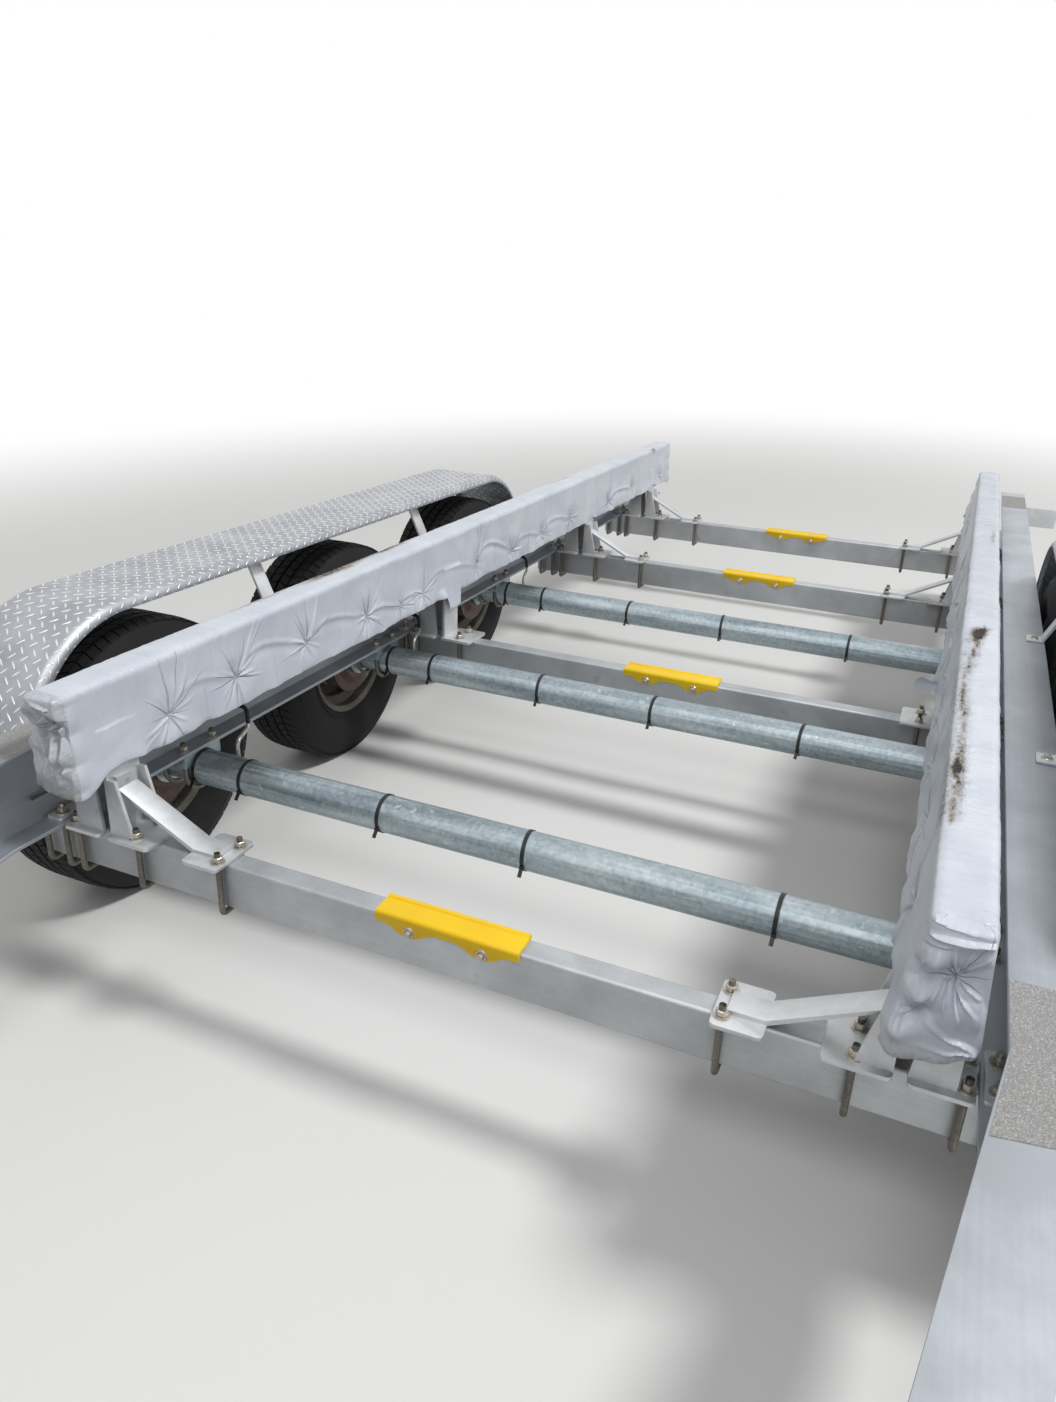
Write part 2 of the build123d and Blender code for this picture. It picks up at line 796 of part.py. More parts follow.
def make_coupler_case():
    """Folded case over the tongue's front end, with a nose plate that guides the head."""
    half = tongue_width / 2 + seat_gap
    gauge = coupler_case_gauge
    chamfer_size = coupler_case_chamfer
    top = rail_bottom + tongue_height + seat_gap
    front_y = along(tongue_front_reach) - 90
    with BuildPart() as case:
        with BuildSketch(Plane.XZ.offset(-front_y)):
            with BuildLine():
                Polyline(
                    (-half - gauge, rail_bottom),
                    (-half - gauge, top + gauge - chamfer_size),
                    (-half - gauge + chamfer_size, top + gauge),
                    (half + gauge - chamfer_size, top + gauge),
                    (half + gauge, top + gauge - chamfer_size),
                    (half + gauge, rail_bottom),
                    (half, rail_bottom),
                    (half, top),
                    (-half, top),
                    (-half, rail_bottom),
                    close=True,
                )
            make_face()
        extrude(amount=-coupler_case_length)
        with BuildSketch(Plane.XZ.offset(-front_y)):
            with Locations((0, rail_bottom + tongue_height / 2)):
                Rectangle(2 * half + 1, tongue_height + seat_gap)
            with Locations((0, ball_height + 26)):
                Rectangle(coupler_head_width + 1.2, 61.2, mode=Mode.SUBTRACT)
        extrude(amount=-gauge)
    return case.part


def make_coupler_head():
    """Sliding head with the ball socket at its nose."""
    outer_radius = socket_radius + socket_wall
    skirt = ball_height - socket_depth
    below = skirt - 1
    ball_y = along(ball_reach)
    back_y = along(tongue_front_reach) - 12
    half = coupler_head_width / 2
    with BuildPart() as head:
        with BuildSketch(Plane.XY.offset(ball_height - 4)):
            with BuildLine():
                Polyline(
                    (-outer_radius, ball_y),
                    (outer_radius, ball_y),
                    (half, ball_y + 62),
                    (half, back_y),
                    (-half, back_y),
                    (-half, ball_y + 62),
                    close=True,
                )
            make_face()
        extrude(amount=60)
        with BuildSketch(Plane.XZ.offset(-ball_y)):
            with BuildLine():
                Line((0, ball_height + outer_radius), (0, skirt))
                Line((0, skirt), (outer_radius + socket_lip, skirt))
                Line((outer_radius + socket_lip, skirt), (outer_radius, skirt + 10))
                Line((outer_radius, skirt + 10), (outer_radius, ball_height))
                ThreePointArc(
                    (outer_radius, ball_height),
                    (outer_radius * math.sqrt(0.5), ball_height + outer_radius * math.sqrt(0.5)),
                    (0, ball_height + outer_radius),
                )
            make_face()
        revolve(axis=Axis((0, ball_y, 0), (0, 0, 1)))
        with BuildSketch(Plane.XZ.offset(-ball_y)):
            with BuildLine():
                Line((0, ball_height + socket_radius), (0, below))
                Line((0, below), (socket_radius, below))
                Line((socket_radius, below), (socket_radius, ball_height))
                ThreePointArc(
                    (socket_radius, ball_height),
                    (socket_radius * math.sqrt(0.5), ball_height + socket_radius * math.sqrt(0.5)),
                    (0, ball_height + socket_radius),
                )
            make_face()
        revolve(axis=Axis((0, ball_y, 0), (0, 0, 1)), mode=Mode.SUBTRACT)
    return head.part


def make_coupler_latch():
    """Lever latch on top of the head."""
    base = ball_height + 56 + seat_gap
    ball_y = along(ball_reach)
    with BuildPart() as latch:
        with BuildSketch(Plane.YZ.offset(-14)):
            with BuildLine():
                Polyline(
                    (ball_y + 34, base),
                    (ball_y + 34, base + 34),
                    (ball_y + 50, base + 46),
                    (ball_y + 150, base + 66),
                    (ball_y + 150, base + 58),
                    (ball_y + 62, base + 30),
                    (ball_y + 62, base),
                    close=True,
                )
            make_face()
        extrude(amount=28)
    return latch.part


def make_jack_tube():
    """Outer tube of the jack with its plate on the tongue's right side and its crank on top."""
    plate_face = tongue_width / 2 + seat_gap
    tube_x = plate_face + jack_bracket_gauge + jack_tube_radius
    tube_y = along(jack_reach)
    bore = jack_leg_radius + jack_leg_clearance
    with BuildPart() as tube:
        with BuildSketch(Plane.XY.offset(jack_tube_bottom)):
            with Locations((tube_x, tube_y)):
                Circle(jack_tube_radius)
        extrude(amount=jack_tube_top - jack_tube_bottom)
        with BuildSketch(Plane.YZ.offset(plate_face)):
            with Locations((tube_y, rail_bottom + tongue_height / 2)):
                RectangleRounded(150, tongue_height - 24, 10)
        extrude(amount=jack_bracket_gauge + 6)
        with BuildSketch(Plane.XY.offset(jack_tube_bottom)):
            with Locations((tube_x, tube_y)):
                Circle(bore)
        extrude(amount=jack_tube_top - jack_tube_bottom - 24, mode=Mode.SUBTRACT)
        with BuildSketch(Plane.XY.offset(jack_tube_top)):
            with Locations((tube_x, tube_y)):
                Circle(jack_tube_radius + 4)
        extrude(amount=14)
        with BuildSketch(Plane.YZ.offset(tube_x)):
            with Locations((tube_y, jack_tube_top - 30)):
                Circle(8)
        extrude(amount=jack_tube_radius + 34)
        with BuildSketch(Plane.YZ.offset(tube_x + jack_tube_radius + 26)):
            with Locations((tube_y, jack_tube_top - 30 - jack_crank_reach / 2)):
                SlotOverall(jack_crank_reach + 20, 20, rotation=90)
        extrude(amount=6)
        with BuildSketch(Plane.YZ.offset(tube_x + jack_tube_radius + 31)):
            with Locations((tube_y, jack_tube_top - 30 - jack_crank_reach)):
                Circle(9)
        extrude(amount=80)
    return tube.part


def make_jack_leg():
    """Sliding leg of the jack with its foot plate."""
    tube_x = tongue_width / 2 + seat_gap + jack_bracket_gauge + jack_tube_radius
    tube_y = along(jack_reach)
    with BuildPart() as leg:
        with BuildSketch(Plane.XY):
            with Locations((tube_x, tube_y)):
                RectangleRounded(jack_foot_size, jack_foot_size * 0.8, 14)
        extrude(amount=jack_foot_gauge)
        with BuildSketch(Plane.XY.offset(jack_foot_gauge)):
            with Locations((tube_x, tube_y)):
                Circle(jack_leg_radius)
        extrude(amount=jack_leg_top - jack_foot_gauge)
        with BuildSketch(Plane.XY.offset(jack_foot_gauge)):
            with Locations((tube_x, tube_y)):
                Circle(jack_leg_radius + 12)
        extrude(amount=12, taper=25)
    return leg.part


def make_post():
    """Winch post on its foot plate, with a gusset behind and arms for the bow roller."""
    base = rail_bottom + tongue_height + seat_gap
    post_y = along(post_reach)
    top = base + post_foot_gauge + post_height
    arm_height = top - 70
    with BuildPart() as post:
        with BuildSketch(Plane.XY.offset(base)):
            with Locations((0, post_y)):
                RectangleRounded(tongue_width, post_foot_length, 10)
        extrude(amount=post_foot_gauge)
        with BuildSketch(Plane.XY.offset(base + post_foot_gauge)):
            with Locations((0, post_y)):
                Rectangle(post_size, post_size)
                Rectangle(post_size - 2 * post_wall, post_size - 2 * post_wall, mode=Mode.SUBTRACT)
        extrude(amount=post_height)
        for end in (-1, 1):
            with BuildSketch(Plane.YZ.offset(-4)):
                with BuildLine():
                    Polyline(
                        (post_y + end * (post_size / 2 - 1), base + post_foot_gauge - 1),
                        (post_y + end * (post_foot_length / 2 - 12), base + post_foot_gauge - 1),
                        (post_y + end * (post_size / 2 - 1), base + post_foot_gauge + 110),
                        close=True,
                    )
                make_face()
            extrude(amount=8)
        for side in sides.values():
            with BuildSketch(Plane.YZ.offset(side * post_size / 2)):
                with Locations((post_y + roller_reach / 2, arm_height)):
                    SlotOverall(roller_reach + 60, 56)
            extrude(amount=side * roller_arm_gauge)
    return post.part


def make_bow_roller():
    """Grooved rubber roller that stops the bow, on its pin between the arms."""
    base = rail_bottom + tongue_height + seat_gap + post_foot_gauge
    roller_y = along(post_reach) + roller_reach
    roller_z = base + post_height - 70
    half = post_size / 2 - seat_gap
    with BuildPart() as roller:
        with BuildSketch(Plane(origin=(0, roller_y, roller_z), x_dir=(1, 0, 0), z_dir=(0, -1, 0))):
            with BuildLine():
                Polyline(
                    (-half, 0),
                    (-half, roller_radius),
                    (-half + 8, roller_radius),
                    (0, roller_radius - 14),
                    (half - 8, roller_radius),
                    (half, roller_radius),
                    (half, 0),
                    close=True,
                )
            make_face()
        revolve(axis=Axis((0, roller_y, roller_z), (1, 0, 0)))
    return roller.part


def make_winch_frame():
    """Open winch frame on the rear face of the post."""
    face_y = along(post_reach) + post_size / 2 + seat_gap
    middle_z = rail_bottom + tongue_height + winch_height
    half = winch_width / 2
    with BuildPart() as frame:
        with BuildSketch(Plane.XZ.offset(-face_y)):
            with Locations((0, middle_z)):
                Rectangle(winch_width + 2 * winch_cheek_gauge, 130)
        extrude(amount=-winch_cheek_gauge)
        for side in sides.values():
            with BuildSketch(Plane.YZ.offset(side * half)):
                with BuildLine():
                    Polyline(
                        (face_y, middle_z - 65),
                        (face_y + 110, middle_z - 40),
                        (face_y + 110, middle_z + 40),
                        (face_y, middle_z + 65),
                        close=True,
                    )
                make_face()
            extrude(amount=side * winch_cheek_gauge)
    return frame.part


def make_winch_drum():
    """Winch drum with its wound strap, between the cheeks."""
    face_y = along(post_reach) + post_size / 2 + seat_gap
    middle_z = rail_bottom + tongue_height + winch_height
    with BuildPart() as drum:
        with BuildSketch(Plane.YZ.offset(-winch_width / 2 + seat_gap)):
            with Locations((face_y + winch_axle_reach, middle_z)):
                Circle(strap_coil_radius)
        extrude(amount=winch_width - 2 * seat_gap)
    return drum.part


def make_winch_handle():
    """Cranked winch handle on the right cheek."""
    face_y = along(post_reach) + post_size / 2 + seat_gap
    middle_z = rail_bottom + tongue_height + winch_height
    outside = winch_width / 2 + winch_cheek_gauge + seat_gap
    with BuildPart() as handle:
        with BuildSketch(Plane.YZ.offset(outside)):
            with Locations((face_y + winch_axle_reach, middle_z)):
                Circle(handle_arm_width / 2 + 3)
        extrude(amount=24 + handle_arm_gauge)
        with BuildSketch(Plane.YZ.offset(outside + 24)):
            with Locations((face_y + winch_axle_reach, middle_z + handle_arm_length / 2)):
                SlotCenterToCenter(handle_arm_length, handle_arm_width, rotation=90)
        extrude(amount=handle_arm_gauge)
        with BuildSketch(Plane.YZ.offset(outside + 23 + handle_arm_gauge)):
            with Locations((face_y + winch_axle_reach, middle_z + handle_arm_length)):
                Circle(handle_arm_width / 2 - 1)
        extrude(amount=handle_grip_length)
    return handle.part


def make_lamp_brackets():
    """Plates from the rails' webs that carry the tail lamps."""
    web_face = rail_half_spacing + rail_web_gauge / 2 + seat_gap
    outer = rail_half_spacing + rail_flange_width / 2 + 12 + lamp_width
    middle_z = (rail_bottom + rail_top) / 2
    back_y = along(rail_rear_reach) - lamp_depth - 12
    with BuildPart() as brackets:
        for side in sides.values():
            with BuildSketch(Plane.XZ.offset(-back_y)):
                with Locations((side * (web_face + outer) / 2, middle_z)):
                    Rectangle(outer - web_face, lamp_height + 12)
            extrude(amount=lamp_plate_gauge)
            with BuildSketch(Plane.YZ.offset(side * web_face)):
                with Locations((back_y - 30, middle_z)):
                    Rectangle(60, lamp_height + 12)
            extrude(amount=side * lamp_plate_gauge)
    return brackets.part


def make_tail_lamps():
    """The two tail lamps on their plates."""
    back_y = along(rail_rear_reach) - lamp_depth - 12 + seat_gap
    inner = rail_half_spacing + rail_flange_width / 2 + 8
    middle_z = (rail_bottom + rail_top) / 2
    with BuildPart() as lamps:
        for side in sides.values():
            with BuildSketch(Plane.XZ.offset(-back_y)):
                with Locations((side * (inner + lamp_width / 2), middle_z)):
                    RectangleRounded(lamp_width, lamp_height, 10)
            extrude(amount=-lamp_depth)
    return lamps.part


def make_marker_lamps():
    """Side marker lamps on the rails' webs, front and rear."""
    web_face = rail_half_spacing + rail_web_gauge / 2 + seat_gap
    middle_z = (rail_bottom + rail_top) / 2
    with BuildPart() as lamps:
        for side in sides.values():
            with BuildSketch(Plane.YZ.offset(side * web_face)):
                with Locations(
                    (along(front_marker_reach), middle_z),
                    (along(rear_marker_reach), middle_z),
                ):
                    RectangleRounded(marker_length, marker_height, 8)
            extrude(amount=side * marker_depth)
    return lamps.part


def make_brake_pipes():
    """Steel pipes along the left rail's web and behind each axle tube, with their unions."""
    web_face = rail_half_spacing - rail_web_gauge / 2 - seat_gap
    pipe_z = rail_bottom + 70
    start = along(first_bend_reach + 90)
    run = along(axle_pitch + hose_root_offset + 20) - start
    with BuildPart() as pipes:
        with BuildSketch(Plane.XZ.offset(-start)):
            with Locations((-web_face + hose_fitting_radius, pipe_z)):
                Circle(brake_pipe_radius)
        extrude(amount=-run)
        for reach in axle_reaches.values():
            with BuildSketch(Plane.XZ.offset(-along(reach + hose_root_offset) - hose_fitting_radius)):
                with Locations((-web_face + hose_fitting_radius, pipe_z)):
                    RegularPolygon(hose_fitting_radius, 6, rotation=30, major_radius=False)
            extrude(amount=-2 * hose_fitting_radius)
            behind = along(reach) + axle_tube_diameter / 2 + seat_gap + hose_fitting_radius
            with BuildSketch(Plane.YZ.offset(-axle_pipe_half_length)):
                with Locations((behind, axle_height)):
                    Circle(brake_pipe_radius)
            extrude(amount=2 * axle_pipe_half_length)
            with BuildSketch(Plane.YZ.offset(-hose_end_half_spacing - hose_fitting_radius)):
                with Locations((behind, axle_height)):
                    Circle(hose_fitting_radius)
            extrude(amount=2 * hose_fitting_radius)
    return pipes.part


def make_brake_hoses():
    """Flexible hoses that drop from the left rail's web to the pipe behind each axle tube."""
    web_face = rail_half_spacing - rail_web_gauge / 2 - seat_gap
    pipe_z = rail_bottom + 70
    root_x = -web_face + 2 * hose_fitting_radius + seat_gap
    over_x = -rail_half_spacing + rail_flange_width / 2 + 34
    with BuildPart() as hoses:
        for reach in axle_reaches.values():
            behind = along(reach) + axle_tube_diameter / 2 + hose_fitting_radius + seat_gap
            root_y = along(reach + hose_root_offset)
            with BuildLine() as route:
                FilletPolyline(
                    (root_x, root_y, pipe_z),
                    (over_x, root_y, pipe_z),
                    (over_x + 12, root_y - 12, axle_height + 74),
                    (-hose_end_half_spacing, behind, axle_height + 60),
                    (-hose_end_half_spacing, behind, axle_height + hose_fitting_radius + seat_gap),
                    radius=22,
                )
            wire = route.wire()
            with BuildSketch(Plane(origin=wire @ 0, z_dir=wire % 0)):
                Circle(hose_radius)
            sweep(path=wire)
    return hoses.part


os.makedirs("parts", exist_ok=True)

for side_name, side in sides.items():
    save(make_rail(side), f"rail_{side_name}")
    save(make_board(side), f"bunk_board_{side_name}")
    save(make_wrap(side), f"bunk_wrap_{side_name}")
    save(make_fender(side), f"fender_{side_name}")

for number, reach in axle_reaches.items():
    save(make_axle(reach), f"axle_{number}")
    for side_name, side in sides.items():
        save(make_rim(side, reach), f"rim_{side_name}_{number}")
        save(make_tyre(side, reach), f"tyre_{side_name}_{number}")

save(make_crossmembers(), "crossmembers")
save(make_saddles(), "axle_saddles")
save(make_brake_plates(), "brake_plates")
save(make_brackets(), "bunk_brackets")
save(make_braces(), "bunk_braces")
save(make_rail_clamps(), "rail_clamps")
save(make_keel_pads(), "keel_pads")
save(make_fender_straps(), "fender_straps")
save(make_tongue(), "tongue")
save(make_coupler_case(), "coupler_case")
save(make_coupler_head(), "coupler_head")
save(make_coupler_latch(), "coupler_latch")
save(make_jack_tube(), "jack_tube")
save(make_jack_leg(), "jack_leg")
save(make_post(), "winch_post")
save(make_bow_roller(), "bow_roller")
save(make_winch_frame(), "winch_frame")
save(make_winch_drum(), "winch_drum")
save(make_winch_handle(), "winch_handle")
save(make_lamp_brackets(), "lamp_brackets")
save(make_tail_lamps(), "tail_lamps")
save(make_marker_lamps(), "marker_lamps")
save(make_brake_pipes(), "brake_pipes")
save(make_brake_hoses(), "brake_hoses")
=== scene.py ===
# %% [markdown]
# # A tri-axle aluminium boat trailer
# The trailer's metalwork arrives as a finished frame: rails, crossmembers, axles, wheels, fenders, coupler and jack.
# This lesson dresses it. It gives every surface its finish, and it models what metalwork can't hold:
# the loose white film round the bunks, tyre treads, bolts, cable ties, grip patches and the bars of the tread plate.

# %% Load the frame
import math
import random

import bmesh
import bpy
import numpy as np
from mathutils import Matrix, Vector


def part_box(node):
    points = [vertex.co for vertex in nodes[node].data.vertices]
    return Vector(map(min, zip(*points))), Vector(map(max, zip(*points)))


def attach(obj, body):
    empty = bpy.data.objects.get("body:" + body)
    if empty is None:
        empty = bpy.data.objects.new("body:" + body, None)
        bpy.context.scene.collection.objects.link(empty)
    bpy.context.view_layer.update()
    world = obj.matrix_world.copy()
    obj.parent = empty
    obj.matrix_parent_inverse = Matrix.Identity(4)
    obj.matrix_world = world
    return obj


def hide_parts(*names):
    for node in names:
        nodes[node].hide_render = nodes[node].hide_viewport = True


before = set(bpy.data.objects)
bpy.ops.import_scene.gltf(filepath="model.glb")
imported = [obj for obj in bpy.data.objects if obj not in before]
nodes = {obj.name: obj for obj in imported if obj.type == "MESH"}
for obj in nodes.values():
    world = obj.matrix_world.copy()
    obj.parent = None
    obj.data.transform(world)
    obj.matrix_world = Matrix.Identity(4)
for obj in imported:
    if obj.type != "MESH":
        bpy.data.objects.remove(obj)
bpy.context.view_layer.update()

# %% [markdown]
# Nothing here is placed by eye. The middle axle gives the zero of every distance along the trailer,
# called a reach, and the boxes of the rails, crossmembers and bunks give the heights that the small parts sit on.

# %% Places taken from the frame
axle_low, axle_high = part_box("axle_2")
middle_axle_y = (axle_low.y + axle_high.y) / 2
rail_low, rail_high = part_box("rail_right")
cross_low, cross_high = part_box("crossmembers")
wrap_low, wrap_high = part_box("bunk_wrap_right")
board_low, board_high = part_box("bunk_board_right")
tyre_low, tyre_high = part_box("tyre_right_2")
RAIL_X = 0.955
RAIL_FLANGE = 0.108
RAIL_GAUGE = 0.009
RAIL_BEND_REACH = -1.448
RAIL_BEND = math.radians(9.3)
AXLE_PITCH = 0.887
TUBE_RADIUS = 0.0445
WHEEL_X = (tyre_low.x + tyre_high.x) / 2
WHEEL_Z = (tyre_low.z + tyre_high.z) / 2
TYRE_RADIUS = tyre_high.z - WHEEL_Z
CROSS_WIDTH = 0.051
PLATE = 0.008
SIDES = {"left": -1, "right": 1}
AXLES = {1: -AXLE_PITCH, 2: 0.0, 3: AXLE_PITCH}
# reach of each crossmember's middle, and whether its brackets have braces
CROSSMEMBERS = {1: (-1.268, True), 2: (0.182, False), 3: (1.490, True), 4: (2.402, True)}


def along(reach):
    """Y of a place given by its distance from the middle axle."""
    return middle_axle_y + reach


print("middle axle at y", round(middle_axle_y, 4), "rail top", round(rail_high.z, 4))

# %% [markdown]
# ## Camera
# The photograph's vanishing lines give the camera: 1.5 m above the ground, inside the trailer's first third,
# looking back and to the left with a wide lens. Its three axes are built from azimuth, elevation and roll,
# because a matrix says plainly which way is right, up and back.

# %% Camera
CAMERA_X = 0.712
CAMERA_REACH = -2.628
CAMERA_Z = 1.500
AZIMUTH = math.radians(23.007)
ELEVATION = math.radians(22.643)
ROLL = math.radians(-2.103)
FOCAL_PIXELS = 991.7
PHOTO_HEIGHT = 1402
SENSOR = 36.0


def new_object(name, data):
    """An object in the scene that shows some data."""
    thing = bpy.data.objects.new(name, data)
    bpy.context.scene.collection.objects.link(thing)
    return thing


def make_camera():
    """The photograph's camera."""
    forward = Vector((
        -math.sin(AZIMUTH) * math.cos(ELEVATION),
        math.cos(AZIMUTH) * math.cos(ELEVATION),
        -math.sin(ELEVATION),
    ))
    level = Vector((math.cos(AZIMUTH), math.sin(AZIMUTH), 0.0))
    down = forward.cross(level)
    right = math.cos(ROLL) * level + math.sin(ROLL) * down
    lower = -math.sin(ROLL) * level + math.cos(ROLL) * down
    turn = Matrix((right, -lower, -forward)).transposed().to_4x4()
    data = bpy.data.cameras.new("camera")
    data.sensor_fit = "VERTICAL"
    data.sensor_height = SENSOR
    data.lens = FOCAL_PIXELS / PHOTO_HEIGHT * SENSOR
    data.clip_start = 0.02
    data.clip_end = 200
    camera = new_object("camera", data)
    camera.matrix_world = Matrix.Translation((CAMERA_X, along(CAMERA_REACH), CAMERA_Z)) @ turn
    bpy.context.scene.camera = camera
    return camera


camera = make_camera()
print("camera lens", round(camera.data.lens, 2), "mm at", tuple(round(v, 3) for v in camera.location))

# %% [markdown]
# ## Materials
# A material is a small tree of nodes. One helper adds a node, sets it up and links it, and another turns
# the sRGB colour that a paint chart or a photograph gives into the linear colour that a renderer needs.
# The rest name the few steps that every finish is made of: noise, sums, ranges, mixes and bumps.

# %% Helpers for materials


def hex_colour(code):
    """Linear RGBA of an sRGB hex colour."""
    parts = [int(code[i:i + 2], 16) / 255 for i in (1, 3, 5)]
    linear = [p / 12.92 if p <= 0.04045 else ((p + 0.055) / 1.055) ** 2.4 for p in parts]
    return (*linear, 1.0)


def add(tree, kind, inputs=None, **settings):
    """Add one node, with its settings, and its inputs set to a value or linked to a socket."""
    node = tree.nodes.new("ShaderNode" + kind)
    for name, value in settings.items():
        setattr(node, name, value)
    for name, value in (inputs or {}).items():
        if isinstance(value, bpy.types.NodeSocket):
            tree.links.new(value, node.inputs[name])
        else:
            node.inputs[name].default_value = value
    return node


def new_material(name, **shader):
    """A material with a Principled shader, whose constants are set on its own sockets."""
    material = bpy.data.materials.new(name)
    material.use_nodes = True
    tree = material.node_tree
    surface = tree.nodes["Principled BSDF"]
    for socket, value in shader.items():
        surface.inputs[socket.replace("_", " ")].default_value = value
    return material, tree, surface


def colour_ramp(tree, factor, stops):
    """A colour ramp from a list of (position, hex colour)."""
    ramp = add(tree, "ValToRGB", {"Fac": factor})
    elements = ramp.color_ramp.elements
    while len(elements) < len(stops):
        elements.new(0.5)
    for element, (position, code) in zip(elements, stops):
        element.position = position
        element.color = hex_colour(code)
    return ramp.outputs["Color"]


def spread(tree, value, low, high, start=0.0, end=1.0):
    """Map the range from start to end to the range from low to high."""
    inputs = {"Value": value, "From Min": start, "From Max": end, "To Min": low, "To Max": high}
    return add(tree, "MapRange", inputs).outputs["Result"]


def smooth(tree, value, start, end):
    """Rise softly from 0 at start to 1 at end."""
    inputs = {"Value": value, "From Min": start, "From Max": end}
    return add(tree, "MapRange", inputs, interpolation_type="SMOOTHSTEP").outputs["Result"]


def mixed(tree, factor, below, above):
    """One colour laid over another by a factor."""
    return add(tree, "Mix", {"Factor": factor, "A": below, "B": above}, data_type="RGBA").outputs["Result"]


def noise(tree, place, scale, detail, roughness=0.5, **inputs):
    """A noise from 0 to 1, which has four dimensions where W is given."""
    inputs.update(Vector=place, Scale=scale, Detail=detail, Roughness=roughness)
    return add(tree, "TexNoise", inputs, noise_dimensions="4D" if "W" in inputs else "3D").outputs["Fac"]


def maths(tree):
    """A function that adds sums to one tree."""

    def work(operation, a, b=0.0, c=0.0):
        return add(tree, "Math", {0: a, 1: b, 2: c}, operation=operation).outputs[0]

    return work


def hypotenuse(work, a, b):
    """The length of a way whose two parts stand square to each other."""
    return work("SQRT", work("ADD", work("MULTIPLY", a, a), work("MULTIPLY", b, b)))


def object_pattern(tree, scale=(1, 1, 1)):
    """Object coordinates in metres, multiplied along X, Y and Z."""
    coordinates = add(tree, "TexCoord").outputs["Object"]
    return add(tree, "Mapping", {"Vector": coordinates, "Scale": scale}).outputs["Vector"]


def plug(tree, surface, **sockets):
    """Link values to the shader's sockets."""
    for name, value in sockets.items():
        tree.links.new(value, surface.inputs[name.replace("_", " ")])


def raise_bumps(tree, surface, *bumps):
    """Lay bumps one over the other. Each is a height, its distance in metres and its strength."""
    below = {}
    for height, distance, strength in bumps:
        bump = add(tree, "Bump", {"Height": height, "Distance": distance, "Strength": strength, **below})
        below = {"Normal": bump.outputs["Normal"]}
    plug(tree, surface, **below)


# %% [markdown]
# Extruded aluminium leaves the die with faint lines along its length, and weather dulls it to a soft grey
# with paler and darker clouds. The lines are a noise that is stretched over a hundredfold along the extrusion,
# so each member gets the material of its own direction.

# %% Extruded aluminium


def extruded_aluminium(name, stretch, dark, light, grime=0.0):
    """Weathered mill finish, with die lines along the axis whose stretch is small, and tan grime if asked."""
    material, tree, surface = new_material(name, Metallic=0.85)
    work = maths(tree)
    place = object_pattern(tree)
    lines = noise(tree, object_pattern(tree, stretch), 1.0, 3.0)
    clouds = noise(tree, place, 5.0, 9.0, 0.62)
    specks = noise(tree, place, 260.0, 3.0, 0.7)
    grain = work("MULTIPLY_ADD", specks, 0.10, work("MULTIPLY_ADD", lines, 0.14, -0.07))
    weather = work("ADD", clouds, grain)
    colour = colour_ramp(tree, weather, [(0.42, dark), (0.72, light)])
    if grime:
        edge = 0.66 - 0.2 * grime
        stain = spread(tree, noise(tree, place, 14.0, 7.0, 0.65), 0.0, 0.75, edge, edge + 0.18)
        colour = mixed(tree, stain, colour, hex_colour("#86745D"))
    plug(tree, surface, Base_Color=colour, Roughness=spread(tree, clouds, 0.44, 0.66))
    raise_bumps(tree, surface, (weather, 0.0003, 0.20))
    return material


aluminium_along = extruded_aluminium("aluminium_extruded_lengthwise", (160, 1.2, 160), "#A8ADB3", "#BEC3C9")
aluminium_across = extruded_aluminium("aluminium_extruded_crosswise", (1.2, 160, 160), "#A9ACAF", "#C3C6C9", 0.14)
aluminium_plate = extruded_aluminium("aluminium_rolled_plate", (40, 40, 40), "#C0C2C4", "#D9DBDD", 0.22)
print("aluminium: lengthwise, crosswise and plate")

# %% [markdown]
# Hot-dip galvanised steel is a blue-grey zinc skin. Its crystals show as a faint spangle of flat patches
# a centimetre across, the drained zinc leaves streaks round the tube, and white oxide blooms in spots.

# %% Galvanised steel


def galvanised_steel(name, stretch, rust=0.0):
    """Zinc-coated steel with spangle, drain streaks and white oxide, and rust where it is asked for."""
    material, tree, surface = new_material(name, Metallic=1.0)
    work = maths(tree)
    place = object_pattern(tree)
    spangle = add(tree, "TexVoronoi", {"Vector": place, "Scale": 110.0}).outputs["Color"]
    streaks = noise(tree, object_pattern(tree, stretch), 1.0, 5.0)
    crystal = work("MULTIPLY_ADD", spangle, 0.22, streaks)
    zinc = colour_ramp(tree, crystal, [(0.38, "#7F8B92"), (0.60, "#9DAAB0"), (0.84, "#BAC3C7")])
    bloom = noise(tree, place, 34.0, 8.0, 0.7)
    spots = spread(tree, work("GREATER_THAN", bloom, 0.63), 0.0, 0.45)
    colour = mixed(tree, spots, zinc, hex_colour("#DCE2E2"))
    if rust:
        edge = 0.64 - 0.34 * rust
        where = spread(tree, noise(tree, place, 11.0, 9.0, 0.62), 0.0, 1.0, edge, edge + 0.12)
        colour = mixed(tree, where, colour, colour_ramp(tree, bloom, [(0.3, "#33241B"), (0.7, "#6E4C33")]))
        plug(tree, surface, Metallic=spread(tree, where, 1.0, 0.15))
    plug(tree, surface, Base_Color=colour, Roughness=spread(tree, streaks, 0.30, 0.58))
    raise_bumps(tree, surface, (crystal, 0.0008, 0.3))
    return material


galvanised_tube = galvanised_steel("galvanised_steel_tube", (3, 24, 24))
galvanised_part = galvanised_steel("galvanised_steel_part", (14, 14, 14))
rusty_steel = galvanised_steel("rusted_brake_steel", (12, 12, 12), rust=1.0)
print("galvanised steel: tube, part and rusted")

